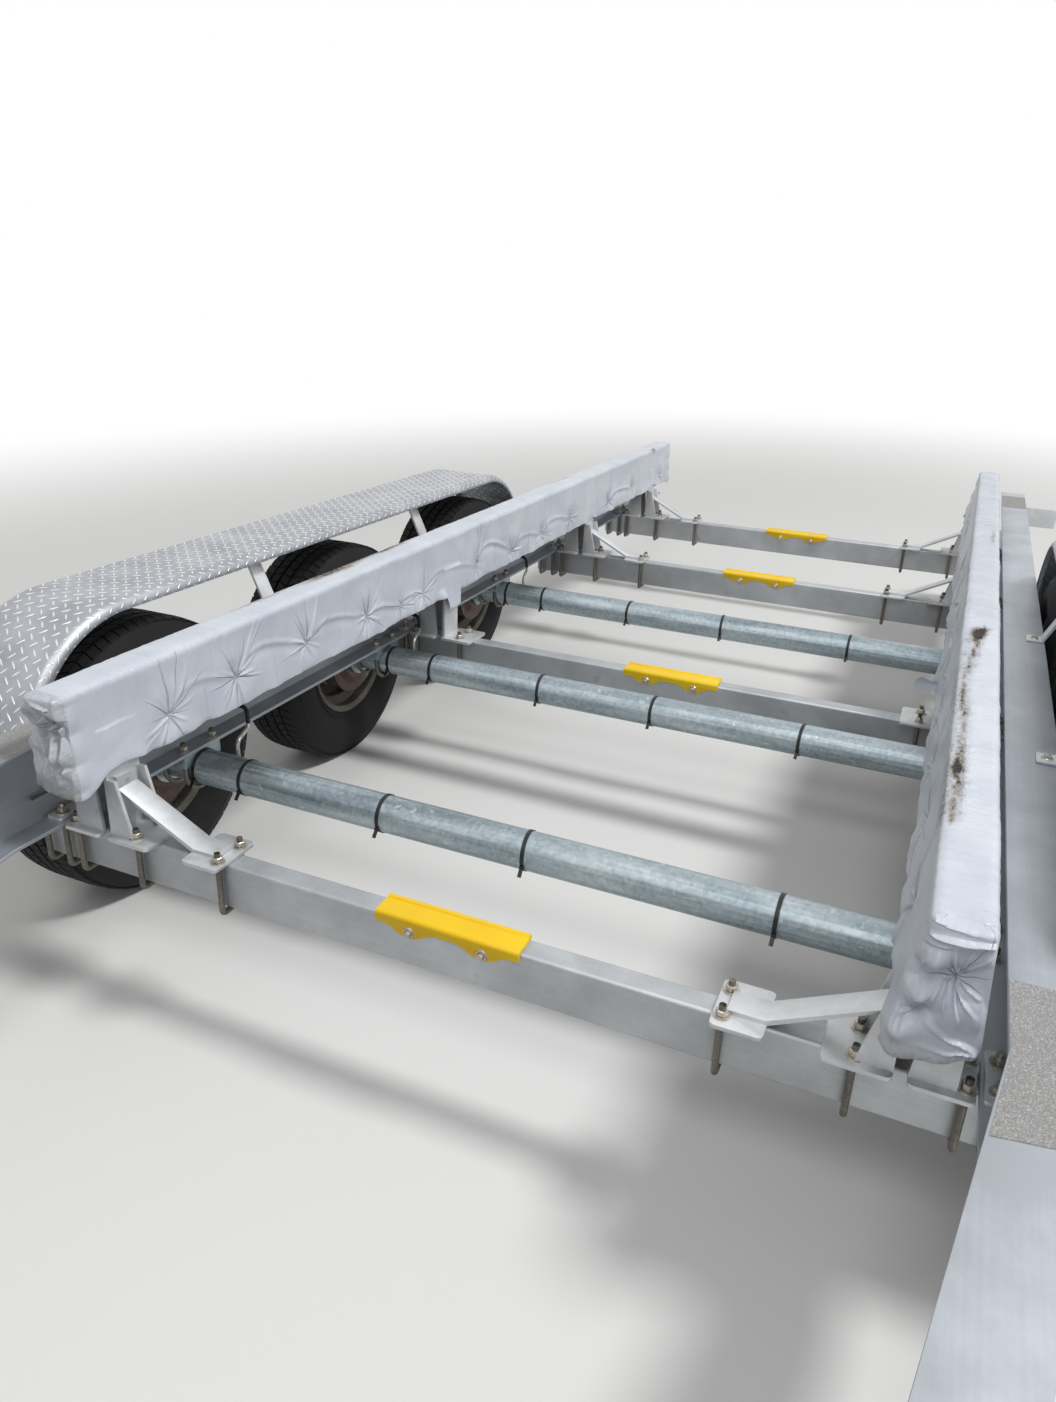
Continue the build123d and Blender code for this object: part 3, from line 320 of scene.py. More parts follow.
# %% [markdown]
# Tread plate is rolled with short raised bars, turned one way and the other in turn, like a woven mat.
# Its pattern has to follow the fender over its rounded ends, so the material works out how far each point lies
# along the bent sheet and across it. On the flat, that is Y and X. On an end, it is the angle round the bend
# times the radius, and down the lips it is the depth below the sheet. The bars on the flat are real pieces,
# set further down on the same pattern, and the material only brightens them: partly the polish of wear on their
# tops, partly a painted highlight. On the rounded shoulders, where no piece is set, it raises them as a bump.

# %% Tread plate
fender_low, fender_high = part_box("fender_right")
FENDER_TOP = fender_high.z
FENDER_HALF = (fender_high.y - fender_low.y) / 2
FENDER_BEND = 0.330
FENDER_MIDDLE_X = (fender_low.x + fender_high.x) / 2
BAR_PITCH = 0.0375
BAR_LENGTH = 0.0245
BAR_WIDTH = 0.0048
BAR_HEIGHT = 0.0011
FENDER_SHOULDER = 0.024
FENDER_FLAT = (fender_high.x - fender_low.x) / 2 - FENDER_SHOULDER


def tread_plate_pattern(tree, work):
    """A point's distance along the bent sheet, outward across it, and straight across it, in metres."""
    place = add(tree, "SeparateXYZ", {"Vector": add(tree, "TexCoord").outputs["Object"]})
    signed = work("SUBTRACT", place.outputs["Y"], middle_axle_y)
    from_middle = work("ABSOLUTE", signed)
    straight = FENDER_HALF - FENDER_BEND
    beyond = work("MAXIMUM", work("SUBTRACT", from_middle, straight), 0.0)
    above = work("SUBTRACT", place.outputs["Z"], FENDER_TOP - FENDER_BEND)
    lifted = work("MAXIMUM", above, 0.0)
    depth = work("SUBTRACT", FENDER_BEND, hypotenuse(work, beyond, lifted))
    turned = work("MULTIPLY", work("ARCTAN2", beyond, lifted), FENDER_BEND)
    hanging = work("MAXIMUM", work("MULTIPLY", above, -1.0), 0.0)
    distance = work("ADD", work("ADD", work("MINIMUM", from_middle, straight), turned), hanging)
    distance = work("MULTIPLY", distance, work("SIGN", signed))
    sideways = work("SUBTRACT", work("ABSOLUTE", place.outputs["X"]), FENDER_MIDDLE_X)
    across = work("ADD", sideways, work("MULTIPLY", work("SIGN", sideways), depth))
    return distance, across, sideways


def tread_plate():
    """Bright aluminium sheet with raised diagonal bars that alternate in direction."""
    material, tree, surface = new_material("aluminium_tread_plate", Metallic=0.85)
    work = maths(tree)
    distance, across, sideways = tread_plate_pattern(tree, work)
    diagonal = math.sqrt(0.5) * BAR_PITCH * 2
    bars = []
    for shift, lean in ((0.0, -1.0), (0.5, 1.0)):
        a, b = (work("SUBTRACT", work("FRACT", work("MULTIPLY_ADD", way, 1 / BAR_PITCH, shift)), 0.5)
                for way in (distance, across))
        b = work("MULTIPLY", b, lean)
        long_way = work("MULTIPLY", work("ADD", a, b), diagonal / BAR_LENGTH)
        short_way = work("MULTIPLY", work("SUBTRACT", a, b), diagonal / BAR_WIDTH)
        bars.append(smooth(tree, hypotenuse(work, long_way, short_way), 1.15, 0.55))
    bar = work("MAXIMUM", *bars)
    sheet = colour_ramp(tree, noise(tree, object_pattern(tree), 9.0, 6.0), [(0.3, "#9B9EA3"), (0.7, "#B7BABF")])
    # The bars are brightened near white: partly the polish of wear, partly a painted highlight.
    polish_and_highlight = mixed(tree, bar, sheet, hex_colour("#EEEFEF"))
    plug(tree, surface, Base_Color=polish_and_highlight, Roughness=spread(tree, bar, 0.46, 0.26))
    rolled = work("GREATER_THAN", work("ABSOLUTE", sideways), FENDER_FLAT)
    raise_bumps(tree, surface, (work("MULTIPLY", bar, rolled), 0.0012, 0.8))
    return material


aluminium_tread = tread_plate()
print("tread plate bars of one lean every", BAR_PITCH * 1000, "mm")

# %% [markdown]
# The film is thin white polyethylene, shrunk and stapled over the bunks. It has a satin, milky sheen.
# What the eye reads as film are sharp creases on a smooth sheet, so there is no all-over crumple. Three attributes
# on the film's own mesh say where they lie: "staple" holds the way to the nearest staple, round which thin
# creases run like spokes, "ripple" is where the sheet is drawn in fine puckers, and the third is where it is torn
# and dusty. Over the bunks' ends it also lays a grey that is partly dirt and partly painted shade.

# %% White film


def white_film():
    """Milky polyethylene, creased round its staples, dirtied by a mesh attribute that also paints shade on the ends.
    """
    material, tree, surface = new_material("polyethylene_white_film", Specular_IOR_Level=0.5, Sheen_Weight=0.08,
                                           Subsurface_Weight=0.12, Subsurface_Scale=0.01,
                                           Subsurface_Radius=(1.0, 1.0, 1.0))
    work = maths(tree)
    place = object_pattern(tree)
    tint = colour_ramp(tree, noise(tree, place, 9.0, 4.0), [(0.34, "#CCD3DE"), (0.66, "#DAE0E9")])

    to_staple = add(tree, "Attribute", attribute_name="staple").outputs["Vector"]
    parts = add(tree, "SeparateXYZ", {"Vector": to_staple}).outputs
    flat = add(tree, "CombineXYZ", {"X": parts["X"], "Y": parts["Y"]}).outputs["Vector"]
    away = add(tree, "VectorMath", {0: flat}, operation="LENGTH").outputs["Value"]
    heading = add(tree, "VectorMath", {0: flat}, operation="NORMALIZE").outputs["Vector"]
    spokes = noise(tree, heading, 1.7, 0.0, W=parts["Z"])
    uneven = noise(tree, heading, 1.9, 0.0, W=work("ADD", parts["Z"], 31.0))
    off_line = work("MULTIPLY", work("ABSOLUTE", work("SUBTRACT", spokes, 0.5)), away)
    pulled = add(tree, "VectorMath", {0: heading, 1: (0.57, 0.82, 0.0)}, operation="DOT_PRODUCT").outputs["Value"]
    run = work("MULTIPLY_ADD", work("POWER", work("ABSOLUTE", pulled), 3.0), 0.110, 0.070)
    run = work("MULTIPLY", run, spread(tree, uneven, 0.25, 1.5, 0.38, 0.62))
    fading = smooth(tree, work("DIVIDE", away, run), 1.0, 0.3)
    creases = work("MULTIPLY", smooth(tree, off_line, 0.0015, 0.0), fading)

    sheet = add(tree, "UVMap", uv_map="film").outputs["UV"]
    sheet = add(tree, "Mapping", {"Vector": sheet, "Scale": (78.0, 7.0, 1.0)}).outputs["Vector"]
    puckered = add(tree, "Attribute", attribute_name="ripple").outputs["Fac"]
    ripples = work("MULTIPLY", noise(tree, sheet, 1.0, 2.5, Distortion=0.9), puckered)
    crumpled = add(tree, "TexNoise", {"Vector": place, "Scale": 30.0, "Detail": 3.0}).outputs["Color"]
    cells = add(tree, "TexVoronoi", {"Vector": crumpled, "Scale": 5.0}, feature="DISTANCE_TO_EDGE")
    crush = work("MULTIPLY", smooth(tree, cells.outputs["Distance"], 0.0, 0.22), smooth(tree, puckered, 1.2, 2.1))

    wear_and_shade = add(tree, "Attribute", attribute_name="wear_and_shade").outputs["Fac"]
    ragged = noise(tree, object_pattern(tree, (170, 60, 170)), 1.0, 8.0, 0.72)
    tear_and_shade = work("MULTIPLY", wear_and_shade, work("MULTIPLY_ADD", ragged, 2.6, -0.40))
    # Grey over rubbed places is stain. Over the bunks' ends the same grey is partly dirt and partly painted shade.
    stain_and_shade = mixed(tree, work("MULTIPLY", smooth(tree, tear_and_shade, 0.03, 0.30), 0.55), tint, hex_colour("#8F8C88"))
    # The tear goes from cream through grey-brown to near black at its strongest, painted as holes in an uncut sheet.
    where = smooth(tree, tear_and_shade, 0.34, 0.46)
    tear_colour = colour_ramp(tree, tear_and_shade, [(0.34, "#E4DFD4"), (0.48, "#A8A097"), (0.66, "#574C44"), (0.90, "#15110E")])
    plug(tree, surface, Base_Color=mixed(tree, where, stain_and_shade, tear_colour), Roughness=spread(tree, where, 0.34, 0.80))
    raise_bumps(tree, surface, (creases, 0.0042, 0.9), (ripples, 0.0075, 0.80), (crush, 0.0050, 0.70),
                (where, -0.002, 0.8))
    return material


film = white_film()

# %% [markdown]
# The smaller finishes share one recipe, because each is a near-even colour that is broken by a noise:
# the noise moves between two close colours, shifts the roughness and raises a fine bump.
# Its scale is the size of the real grain: two millimetres on moulded plastic, five on a dusty tyre.

# %% Moulded, rubber and timber finishes


def mottled(name, dark, light, grain_mm, rough, bump_mm, metallic=0.0, stretch=(1, 1, 1)):
    """A material of two close colours, mixed by a noise whose grain is given in millimetres."""
    material, tree, surface = new_material(name, Metallic=metallic)
    work = maths(tree)
    place = object_pattern(tree, stretch)
    grain = noise(tree, place, 1000.0 / grain_mm, 5.0, 0.6)
    broad = noise(tree, place, 7.0, 5.0)
    total = work("MULTIPLY_ADD", broad, 0.5, work("MULTIPLY", grain, 0.5))
    colour = colour_ramp(tree, total, [(0.36, dark), (0.64, light)])
    plug(tree, surface, Base_Color=colour, Roughness=spread(tree, broad, rough - 0.08, rough + 0.08))
    raise_bumps(tree, surface, (grain, bump_mm / 1000, 0.6))
    return material


yellow_pad = mottled("polyurethane_yellow_moulded", "#F6C400", "#FFDB12", 2.0, 0.42, 0.15)
dusty_rim = mottled("galvanised_steel_dusty_rim", "#5F5A54", "#8E8981", 9.0, 0.62, 0.2, metallic=0.4)
tyre_rubber = mottled("rubber_tyre_dusty", "#040405", "#0C0B0D", 5.0, 0.80, 0.4)
black_rubber = mottled("rubber_black_moulded", "#141414", "#232323", 2.0, 0.55, 0.2)
black_nylon = mottled("nylon_black_tie", "#0E0E0F", "#1C1C1D", 2.0, 0.45, 0.1)
timber = mottled("softwood_treated_board", "#8E7350", "#BFA275", 4.0, 0.8, 0.6, stretch=(1, 0.06, 1))
stainless = mottled("stainless_steel_fastener", "#A39D94", "#D0CAC0", 3.0, 0.36, 0.1, metallic=0.9)
grimy_rod = mottled("stainless_steel_grimy_rod", "#57534C", "#8B867D", 4.0, 0.50, 0.1, metallic=0.7)
zinc_plate = mottled("zinc_plated_steel", "#A6A9A4", "#C9CBC5", 5.0, 0.36, 0.1, metallic=1.0)
pipe_coating = mottled("coated_steel_brake_pipe", "#3A3B38", "#585955", 3.0, 0.4, 0.1, metallic=0.6)
webbing = mottled("polyester_winch_strap", "#2A2C2E", "#474A4C", 1.6, 0.85, 0.5, stretch=(1, 3, 3))
print("finishes:", len(bpy.data.materials))

# %% [markdown]
# Grip patches are grey grit bonded to the rail's top. Each grain is about a millimetre and a half here,
# twice the real one, so that it still shows from a step away. Cells of a Voronoi texture give every
# grain its own shade and its own height.

# %% Grit


def grip_grit():
    """Grey anti-slip grit with pale and dark grains."""
    material, tree, surface = new_material("grit_grey_antislip", Roughness=0.9)
    grains = add(tree, "TexVoronoi", {"Vector": object_pattern(tree), "Scale": 620.0}).outputs
    shade = colour_ramp(tree, grains["Color"], [(0.05, "#8B8A89"), (0.7, "#A2A1A0"), (0.97, "#D4D3D2")])
    plug(tree, surface, Base_Color=shade)
    raise_bumps(tree, surface, (grains["Distance"], -0.001, 0.7))
    return material


grit = grip_grit()

# %% [markdown]
# A lamp lens is clear-bodied coloured acrylic with a row of moulded ribs inside. A wave across the lens gives
# the ribs, and a coat gives the hard outer gloss. A brake hose is black above and bright where it is braided.

# %% Lamp lenses and braided hose


def lamp_lens(name, dark, light):
    """Coloured acrylic with moulded ribs that run slantwise."""
    material, tree, surface = new_material(name, Roughness=0.18, Coat_Weight=0.6, Coat_Roughness=0.08)
    waves = add(tree, "TexWave", {"Vector": object_pattern(tree), "Scale": 40.0}, bands_direction="DIAGONAL")
    ribs = waves.outputs["Fac"]
    plug(tree, surface, Base_Color=colour_ramp(tree, ribs, [(0.2, dark), (0.8, light)]))
    raise_bumps(tree, surface, (ribs, 0.002, 0.5))
    return material


BRAID_TOP = WHEEL_Z + 0.085


def braided_hose():
    """Black hose above, and a bright woven braid on its lower end."""
    material, tree, surface = new_material("rubber_hose_with_braid")
    place = object_pattern(tree)
    height = add(tree, "SeparateXYZ", {"Vector": place}).outputs["Z"]
    below = spread(tree, height, 0.0, 1.0, BRAID_TOP, BRAID_TOP - 0.004)
    weave = add(tree, "TexChecker", {"Vector": place, "Scale": 520.0, "Color1": hex_colour("#8F8F8B"),
                                     "Color2": hex_colour("#D6D6D1")}).outputs
    plug(tree, surface, Base_Color=mixed(tree, below, hex_colour("#161617"), weave["Color"]),
         Metallic=spread(tree, below, 0.0, 0.8), Roughness=spread(tree, below, 0.5, 0.35))
    raise_bumps(tree, surface, (weave["Fac"], 0.0006, 0.7))
    return material


red_lens = lamp_lens("acrylic_red_lens", "#7E0A0A", "#C41414")
hose_braid = braided_hose()

# %% [markdown]
# ## Dressing the metalwork
# Each frame piece keeps its shape and gets its material. A few modifiers make its edges catch light
# as real ones do: Weld joins the loose triangles, Decimate dissolves what lies in one plane, so that
# Bevel has room to round what turns sharply, and hardened normals keep the flats flat. The width is the real
# edge radius, so a sheet gets less than an extrusion.

# %% Dress the frame's pieces


def dress(node, material, edge, segments):
    """Give a frame piece its material, and round its sharp edges by a real radius in metres."""
    piece = nodes[node]
    piece.data.materials.clear()
    piece.data.materials.append(material)
    piece.data.polygons.foreach_set("material_index", [0] * len(piece.data.polygons))
    piece.data.polygons.foreach_set("use_smooth", [True] * len(piece.data.polygons))
    weld = piece.modifiers.new("weld", "WELD")
    weld.merge_threshold = 0.00002
    if edge:
        flats = piece.modifiers.new("flats", "DECIMATE")
        flats.decimate_type = "DISSOLVE"
        flats.angle_limit = math.radians(0.4)
        bevel = piece.modifiers.new("edges", "BEVEL")
        bevel.width = edge
        bevel.segments = segments
        bevel.limit_method = "ANGLE"
        bevel.angle_limit = math.radians(32)
        bevel.harden_normals = True
        bevel.use_clamp_overlap = True
    return piece


# pieces, material, edge radius in metres, segments of the rounding
OUTFITS = [
    ("rail_left rail_right tongue", aluminium_along, 0.0012, 2),
    ("crossmembers", aluminium_across, 0.0008, 2),
    ("bunk_brackets bunk_braces rail_clamps fender_straps winch_post lamp_brackets", aluminium_plate, 0.0010, 2),
    ("fender_left fender_right", aluminium_tread, 0.0006, 2),
    ("axle_1 axle_2 axle_3", galvanised_tube, 0.0010, 2),
    ("axle_saddles coupler_case coupler_head jack_tube jack_leg winch_frame", galvanised_part, 0.0010, 2),
    ("coupler_latch winch_handle", zinc_plate, 0.0010, 2),
    ("brake_plates", rusty_steel, 0.0008, 2),
    ("keel_pads", yellow_pad, 0.0022, 3),
    ("bow_roller", black_rubber, 0.0030, 3),
    ("winch_drum", webbing, 0.0010, 2),
    ("tail_lamps marker_lamps", red_lens, 0.0030, 3),
    ("bunk_board_left bunk_board_right", timber, 0.0055, 3),
    ("brake_pipes", pipe_coating, 0.0, 2),
    ("brake_hoses", hose_braid, 0.0, 2),
    ("rim_left_1 rim_left_2 rim_left_3 rim_right_1 rim_right_2 rim_right_3", dusty_rim, 0.0010, 2),
]
for names, material, edge, segments in OUTFITS:
    for name in names.split():
        dress(name, material, edge, segments)
print("dressed the frame's pieces")

# %% [markdown]
# ## Making new pieces
# Every new piece starts as a bmesh, a mesh that operators can shape. One helper turns it into an object that
# rides on its body, and another repeats a small finished shape at many places in one joined mesh,
# because forty separate nuts would be forty objects for one kind of thing.

# %% Helpers for pieces


def as_mesh(bm, name):
    """Write a bmesh to a new mesh, and free it."""
    mesh = bpy.data.meshes.new(name)
    bm.to_mesh(mesh)
    bm.free()
    return mesh


def make_piece(bm, name, material, body="frame", sharp=35.0):
    """Turn a bmesh into a piece that rides on a body, smooth apart from edges over an angle in degrees."""
    bmesh.ops.recalc_face_normals(bm, faces=bm.faces)
    mesh = as_mesh(bm, name)
    mesh.polygons.foreach_set("use_smooth", [True] * len(mesh.polygons))
    mesh.set_sharp_from_angle(angle=math.radians(sharp))
    mesh.materials.append(material)
    piece = new_object(name, mesh)
    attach(piece, body)
    print(name, len(mesh.polygons), "faces")
    return piece


def repeated(shape, places):
    """A bmesh that holds a copy of one small bmesh at each matrix. The small one is freed."""
    mesh = as_mesh(shape, "shape")
    joined = bmesh.new()
    for place in places:
        start = len(joined.verts)
        joined.from_mesh(mesh)
        joined.verts.ensure_lookup_table()
        bmesh.ops.transform(joined, matrix=place, verts=joined.verts[start:])
    bpy.data.meshes.remove(mesh)
    return joined


def new_verts(result):
    """The vertices among what an operator made."""
    return [item for item in result["geom"] if isinstance(item, bmesh.types.BMVert)]


def only_faces(items):
    """The faces among what an operator made."""
    return [item for item in items if isinstance(item, bmesh.types.BMFace)]


def at(x, y, z):
    return Matrix.Translation((x, y, z))


def turned(degrees, axis):
    return Matrix.Rotation(math.radians(degrees), 4, axis)


def stretched(x, y, z=1.0):
    return Matrix.Diagonal((x, y, z, 1.0))


def drum(bm, segments, radius, depth, bottom=0.0, top_radius=None):
    """Add a capped cylinder or cone that stands on a height, and return its vertices."""
    result = bmesh.ops.create_cone(bm, cap_ends=True, segments=segments, radius1=radius,
                                   radius2=radius if top_radius is None else top_radius, depth=depth,
                                   matrix=at(0, 0, bottom + depth / 2))
    return result["verts"]


def chamfer(bm, edges, width):
    """Cut a flat along some edges."""
    bmesh.ops.bevel(bm, geom=list(edges), offset=width, segments=1, profile=0.5, affect="EDGES", material=-1)


# %% [markdown]
# ## U-bolts, nuts and washers
# The trailer is clamped together, not welded. A square U-bolt of 12.7 mm rod comes up round each crossmember
# beside every foot, through its plate, and ends in a washer and a hex nut with a few turns of thread above.
# The rod is a circle that is extruded down, spun round a corner, pushed across, spun again and pushed up.

# %% U-bolts
ROD_RADIUS = 0.00635
NUT_RADIUS = 0.0112
NUT_HEIGHT = 0.0110
WASHER_RADIUS = 0.0150
WASHER_GAUGE = 0.0025
THREAD_STAND = 0.0080
BOLT_HALF = 0.0345
CORNER = 0.010


def push(bm, faces, move):
    """Extrude faces and move the new end."""
    result = bmesh.ops.extrude_face_region(bm, geom=faces)
    bmesh.ops.delete(bm, geom=faces, context="FACES_ONLY")
    bmesh.ops.translate(bm, vec=move, verts=new_verts(result))
    return only_faces(result["geom"])


def swing(bm, faces, centre, degrees):
    """Spin end faces round an axis along X, as a rod is bent."""
    result = bmesh.ops.spin(bm, geom=faces, cent=centre, axis=(1, 0, 0), angle=math.radians(degrees), steps=4,
                            use_merge=False, use_normal_flip=False, use_duplicate=False)
    return only_faces(result["geom_last"])


def u_bolt(half, drop, corner, rod):
    """A square U-bolt whose two ends stand at z 0 and whose bottom is at -drop."""
    bm = bmesh.new()
    bmesh.ops.create_circle(bm, cap_ends=True, segments=10, radius=rod, matrix=at(0, -half, 0))
    faces = push(bm, list(bm.faces), (0, 0, -(drop - corner)))
    faces = swing(bm, faces, (0, -half + corner, -(drop - corner)), 90)
    faces = push(bm, faces, (0, 2 * (half - corner), 0))
    faces = swing(bm, faces, (0, half - corner, -(drop - corner)), 90)
    push(bm, faces, (0, 0, drop - corner))
    bmesh.ops.remove_doubles(bm, verts=bm.verts, dist=0.00001)
    return bm


def nut_with_washer():
    """A chamfered hex nut on its washer, seated at z 0."""
    bm = bmesh.new()
    drum(bm, 20, WASHER_RADIUS, WASHER_GAUGE)
    nut = drum(bm, 6, NUT_RADIUS, NUT_HEIGHT, WASHER_GAUGE)
    chamfer(bm, {edge for vert in nut for edge in vert.link_edges if edge.calc_length() < NUT_RADIUS * 1.01}, 0.0012)
    return bm


# how far from the middle the bolts stand at every foot, at a brace's foot, and each side of a rail's middle
FEET_X = (0.722, 0.885)
BRACE_FOOT_X = 0.512
CLAMP_BOLT_OFFSET = 0.0286
SEAT_GAP = 0.0003


def on_rail(x):
    """Whether a U-bolt goes through a rail's clamp and not through a foot."""
    return abs(x) > RAIL_X - 2 * CLAMP_BOLT_OFFSET


def foot_places():
    """Where a U-bolt stands: beside each foot and on each rail clamp, as (x, reach) with both signs of x."""
    places = []
    for reach, braced in CROSSMEMBERS.values():
        offsets = [*FEET_X, RAIL_X - CLAMP_BOLT_OFFSET, RAIL_X + CLAMP_BOLT_OFFSET]
        if braced:
            offsets.append(BRACE_FOOT_X)
        for x in offsets:
            places += [(x, reach), (-x, reach)]
    return places


foot_top = cross_high.z + SEAT_GAP + PLATE
clamp_top = rail_low.z + RAIL_GAUGE + SEAT_GAP + PLATE
rod_top = WASHER_GAUGE + NUT_HEIGHT + THREAD_STAND
drop = foot_top + rod_top - cross_low.z + 2 * ROD_RADIUS
bolt_spots = []
nut_spots = []
for x, reach in foot_places():
    seat = clamp_top if on_rail(x) else foot_top
    bolt_spots.append(at(x, along(reach), foot_top + rod_top))
    for end in (-BOLT_HALF, BOLT_HALF):
        turn = turned(random.Random(f"{x}{reach}{end}").uniform(0, 60), "Z")
        nut_spots.append(at(x, along(reach) + end, seat) @ turn)
make_piece(repeated(u_bolt(BOLT_HALF, drop, CORNER, ROD_RADIUS), bolt_spots),
           "crossmember_u_bolts", grimy_rod)
clamp_tops = [at(x, along(r) + end, clamp_top + rod_top / 2) for x, r in foot_places() if on_rail(x)
              for end in (-BOLT_HALF, BOLT_HALF)]
stub = bmesh.new()
drum(stub, 10, ROD_RADIUS, rod_top, -rod_top / 2)
make_piece(repeated(stub, clamp_tops), "rail_clamp_threads", stainless)

# %% [markdown]
# The axle tubes hang from the rails in round U-bolts, two through each saddle and the rail's lower flange.

# %% Axle U-bolts
AXLE_BOLT_OFFSET = 0.034
axle_bolt_half = TUBE_RADIUS + ROD_RADIUS + 0.0005
flange_top = rail_low.z + RAIL_GAUGE
axle_drop = flange_top + rod_top - (WHEEL_Z - TUBE_RADIUS) + 2 * ROD_RADIUS
axle_spots = []
for reach in AXLES.values():
    for side in SIDES.values():
        for offset in (-AXLE_BOLT_OFFSET, AXLE_BOLT_OFFSET):
            x = side * RAIL_X + offset
            axle_spots.append(at(x, along(reach), flange_top + rod_top))
            for end in (-axle_bolt_half, axle_bolt_half):
                nut_spots.append(at(x, along(reach) + end, flange_top))
make_piece(repeated(u_bolt(axle_bolt_half, axle_drop, axle_bolt_half - 0.0001, ROD_RADIUS), axle_spots),
           "axle_u_bolts", grimy_rod)
make_piece(repeated(nut_with_washer(), nut_spots), "u_bolt_nuts", stainless, sharp=25.0)

# %% [markdown]
# ## Screws and bolt heads
# Flanged heads hold the keel pads, the fender straps and the braces. All are one shape, turned to face out.

# %% Bolt heads


HEAD_SEAT = 0.0024
HEAD_HEIGHT = 0.0065


def bolt_head():
    """A hex head with its flange, seated at z 0 and facing +Z."""
    bm = bmesh.new()
    drum(bm, 18, 0.0125, HEAD_SEAT, top_radius=0.0110)
    head = drum(bm, 6, 0.0078, HEAD_HEIGHT, HEAD_SEAT, top_radius=0.0074)
    top = {edge for vert in head for edge in vert.link_edges if all(v.co.z > 0.008 for v in edge.verts)}
    chamfer(bm, top, 0.0010)
    return bm


PAD_GAUGE = 0.007
PAD_SCREW_DROP = 0.022
PAD_EAR_X = 0.075
BRACE_BOLT_Z = 0.527
STRAP_BOLT_X = 0.982
STRAP_GAUGE = 0.0063
head_spots = []
for reach, braced in CROSSMEMBERS.values():
    pad_face = along(reach) - CROSS_WIDTH / 2 - SEAT_GAP - PAD_GAUGE
    for x in (-PAD_EAR_X, PAD_EAR_X):
        head_spots.append(at(x, pad_face, cross_high.z - PAD_SCREW_DROP) @ turned(90, "X"))
    for side in SIDES.values() if braced else ():
        web_face = side * (board_low.x - SEAT_GAP - PLATE)
        head_spots.append(at(web_face, along(reach), BRACE_BOLT_Z) @ turned(-90 * side, "Y"))
for side in SIDES.values():
    for reach in (-AXLE_PITCH / 2, AXLE_PITCH / 2):
        head_spots.append(at(side * STRAP_BOLT_X, along(reach), rail_high.z + STRAP_GAUGE))
make_piece(repeated(bolt_head(), head_spots), "bolt_heads", stainless, sharp=25.0)

# %% [markdown]
# ## Cable ties
# Black nylon ties hold the brake pipe to the back of each axle tube. A tie is a thin strap: a small rectangle
# that is spun once round the tube. Its back is pulled out round the pipe, and its locking head and cut tail
# sit underneath.

# %% Cable ties
TIE_WIDTH = 0.0088
TIE_GAUGE = 0.0018
PIPE_OFFSET = 0.0083
PIPE_RADIUS = 0.003
# x of each tie, by axle
TIES = {
    1: (-0.905, -0.766, -0.375, -0.013, 0.535, 0.872),
    2: (-0.885, -0.733, -0.360, 0.002, 0.431, 0.860),
    3: (-0.880, -0.724, -0.367, -0.008, 0.448, 0.868),
}


def cable_tie():
    """One tie round a tube whose axis is X, with the pipe behind it at +Y."""
    bm = bmesh.new()
    bmesh.ops.create_grid(bm, x_segments=1, y_segments=1, size=0.5)
    for vert in bm.verts:
        vert.co = Vector((vert.co.x * TIE_WIDTH, 0.0, TUBE_RADIUS + TIE_GAUGE / 2 + vert.co.y * TIE_GAUGE))
    bmesh.ops.spin(bm, geom=list(bm.faces), cent=(0, 0, 0), axis=(1, 0, 0), angle=2 * math.pi, steps=56,
                   use_merge=True, use_duplicate=False)
    inside = [f for f in bm.faces if abs(f.normal.y) > 0.999 and abs(f.calc_center_median().y) < 1e-6]
    bmesh.ops.delete(bm, geom=inside, context="FACES_ONLY")
    for vert in bm.verts:
        angle = math.atan2(vert.co.z, vert.co.y)
        swell = max(0.0, 1 - abs(angle) / 0.55)
        radius = math.hypot(vert.co.y, vert.co.z)
        grown = radius + (PIPE_OFFSET + PIPE_RADIUS) * math.sin(swell * math.pi / 2) ** 1.6
        vert.co.y *= grown / radius
        vert.co.z *= grown / radius
    under = turned(-65, "X")
    bmesh.ops.create_cube(bm, size=1.0, matrix=under @ at(0, 0, -TUBE_RADIUS - 0.004)
                          @ stretched(0.0085, 0.0085, 0.0062))
    bmesh.ops.create_cube(bm, size=1.0, matrix=under @ at(0, 0.004, -TUBE_RADIUS - 0.014) @ turned(24, "X")
                          @ stretched(TIE_WIDTH, TIE_GAUGE, 0.020))
    return bm


tie_spots = []
for number, reach in AXLES.items():
    for x in TIES[number]:
        lean = random.Random(f"tie{x}").uniform(-4, 4)
        tie_spots.append(at(x, along(reach), WHEEL_Z) @ turned(lean, "Z"))
make_piece(repeated(cable_tie(), tie_spots), "cable_ties", black_nylon)

# %% [markdown]
# ## Grip patches
# A sheet of grit lies over the top flange where people step: over the bend of each rail and at the rear end.
# A patch is a thin grid that is folded to the rail's own line.

# %% Grip patches
PATCH_GAUGE = 0.0010
PATCH_INSET = 0.0015
# first and last reach of each patch
PATCHES = [(-1.600, -1.283), (2.610, 2.930)]


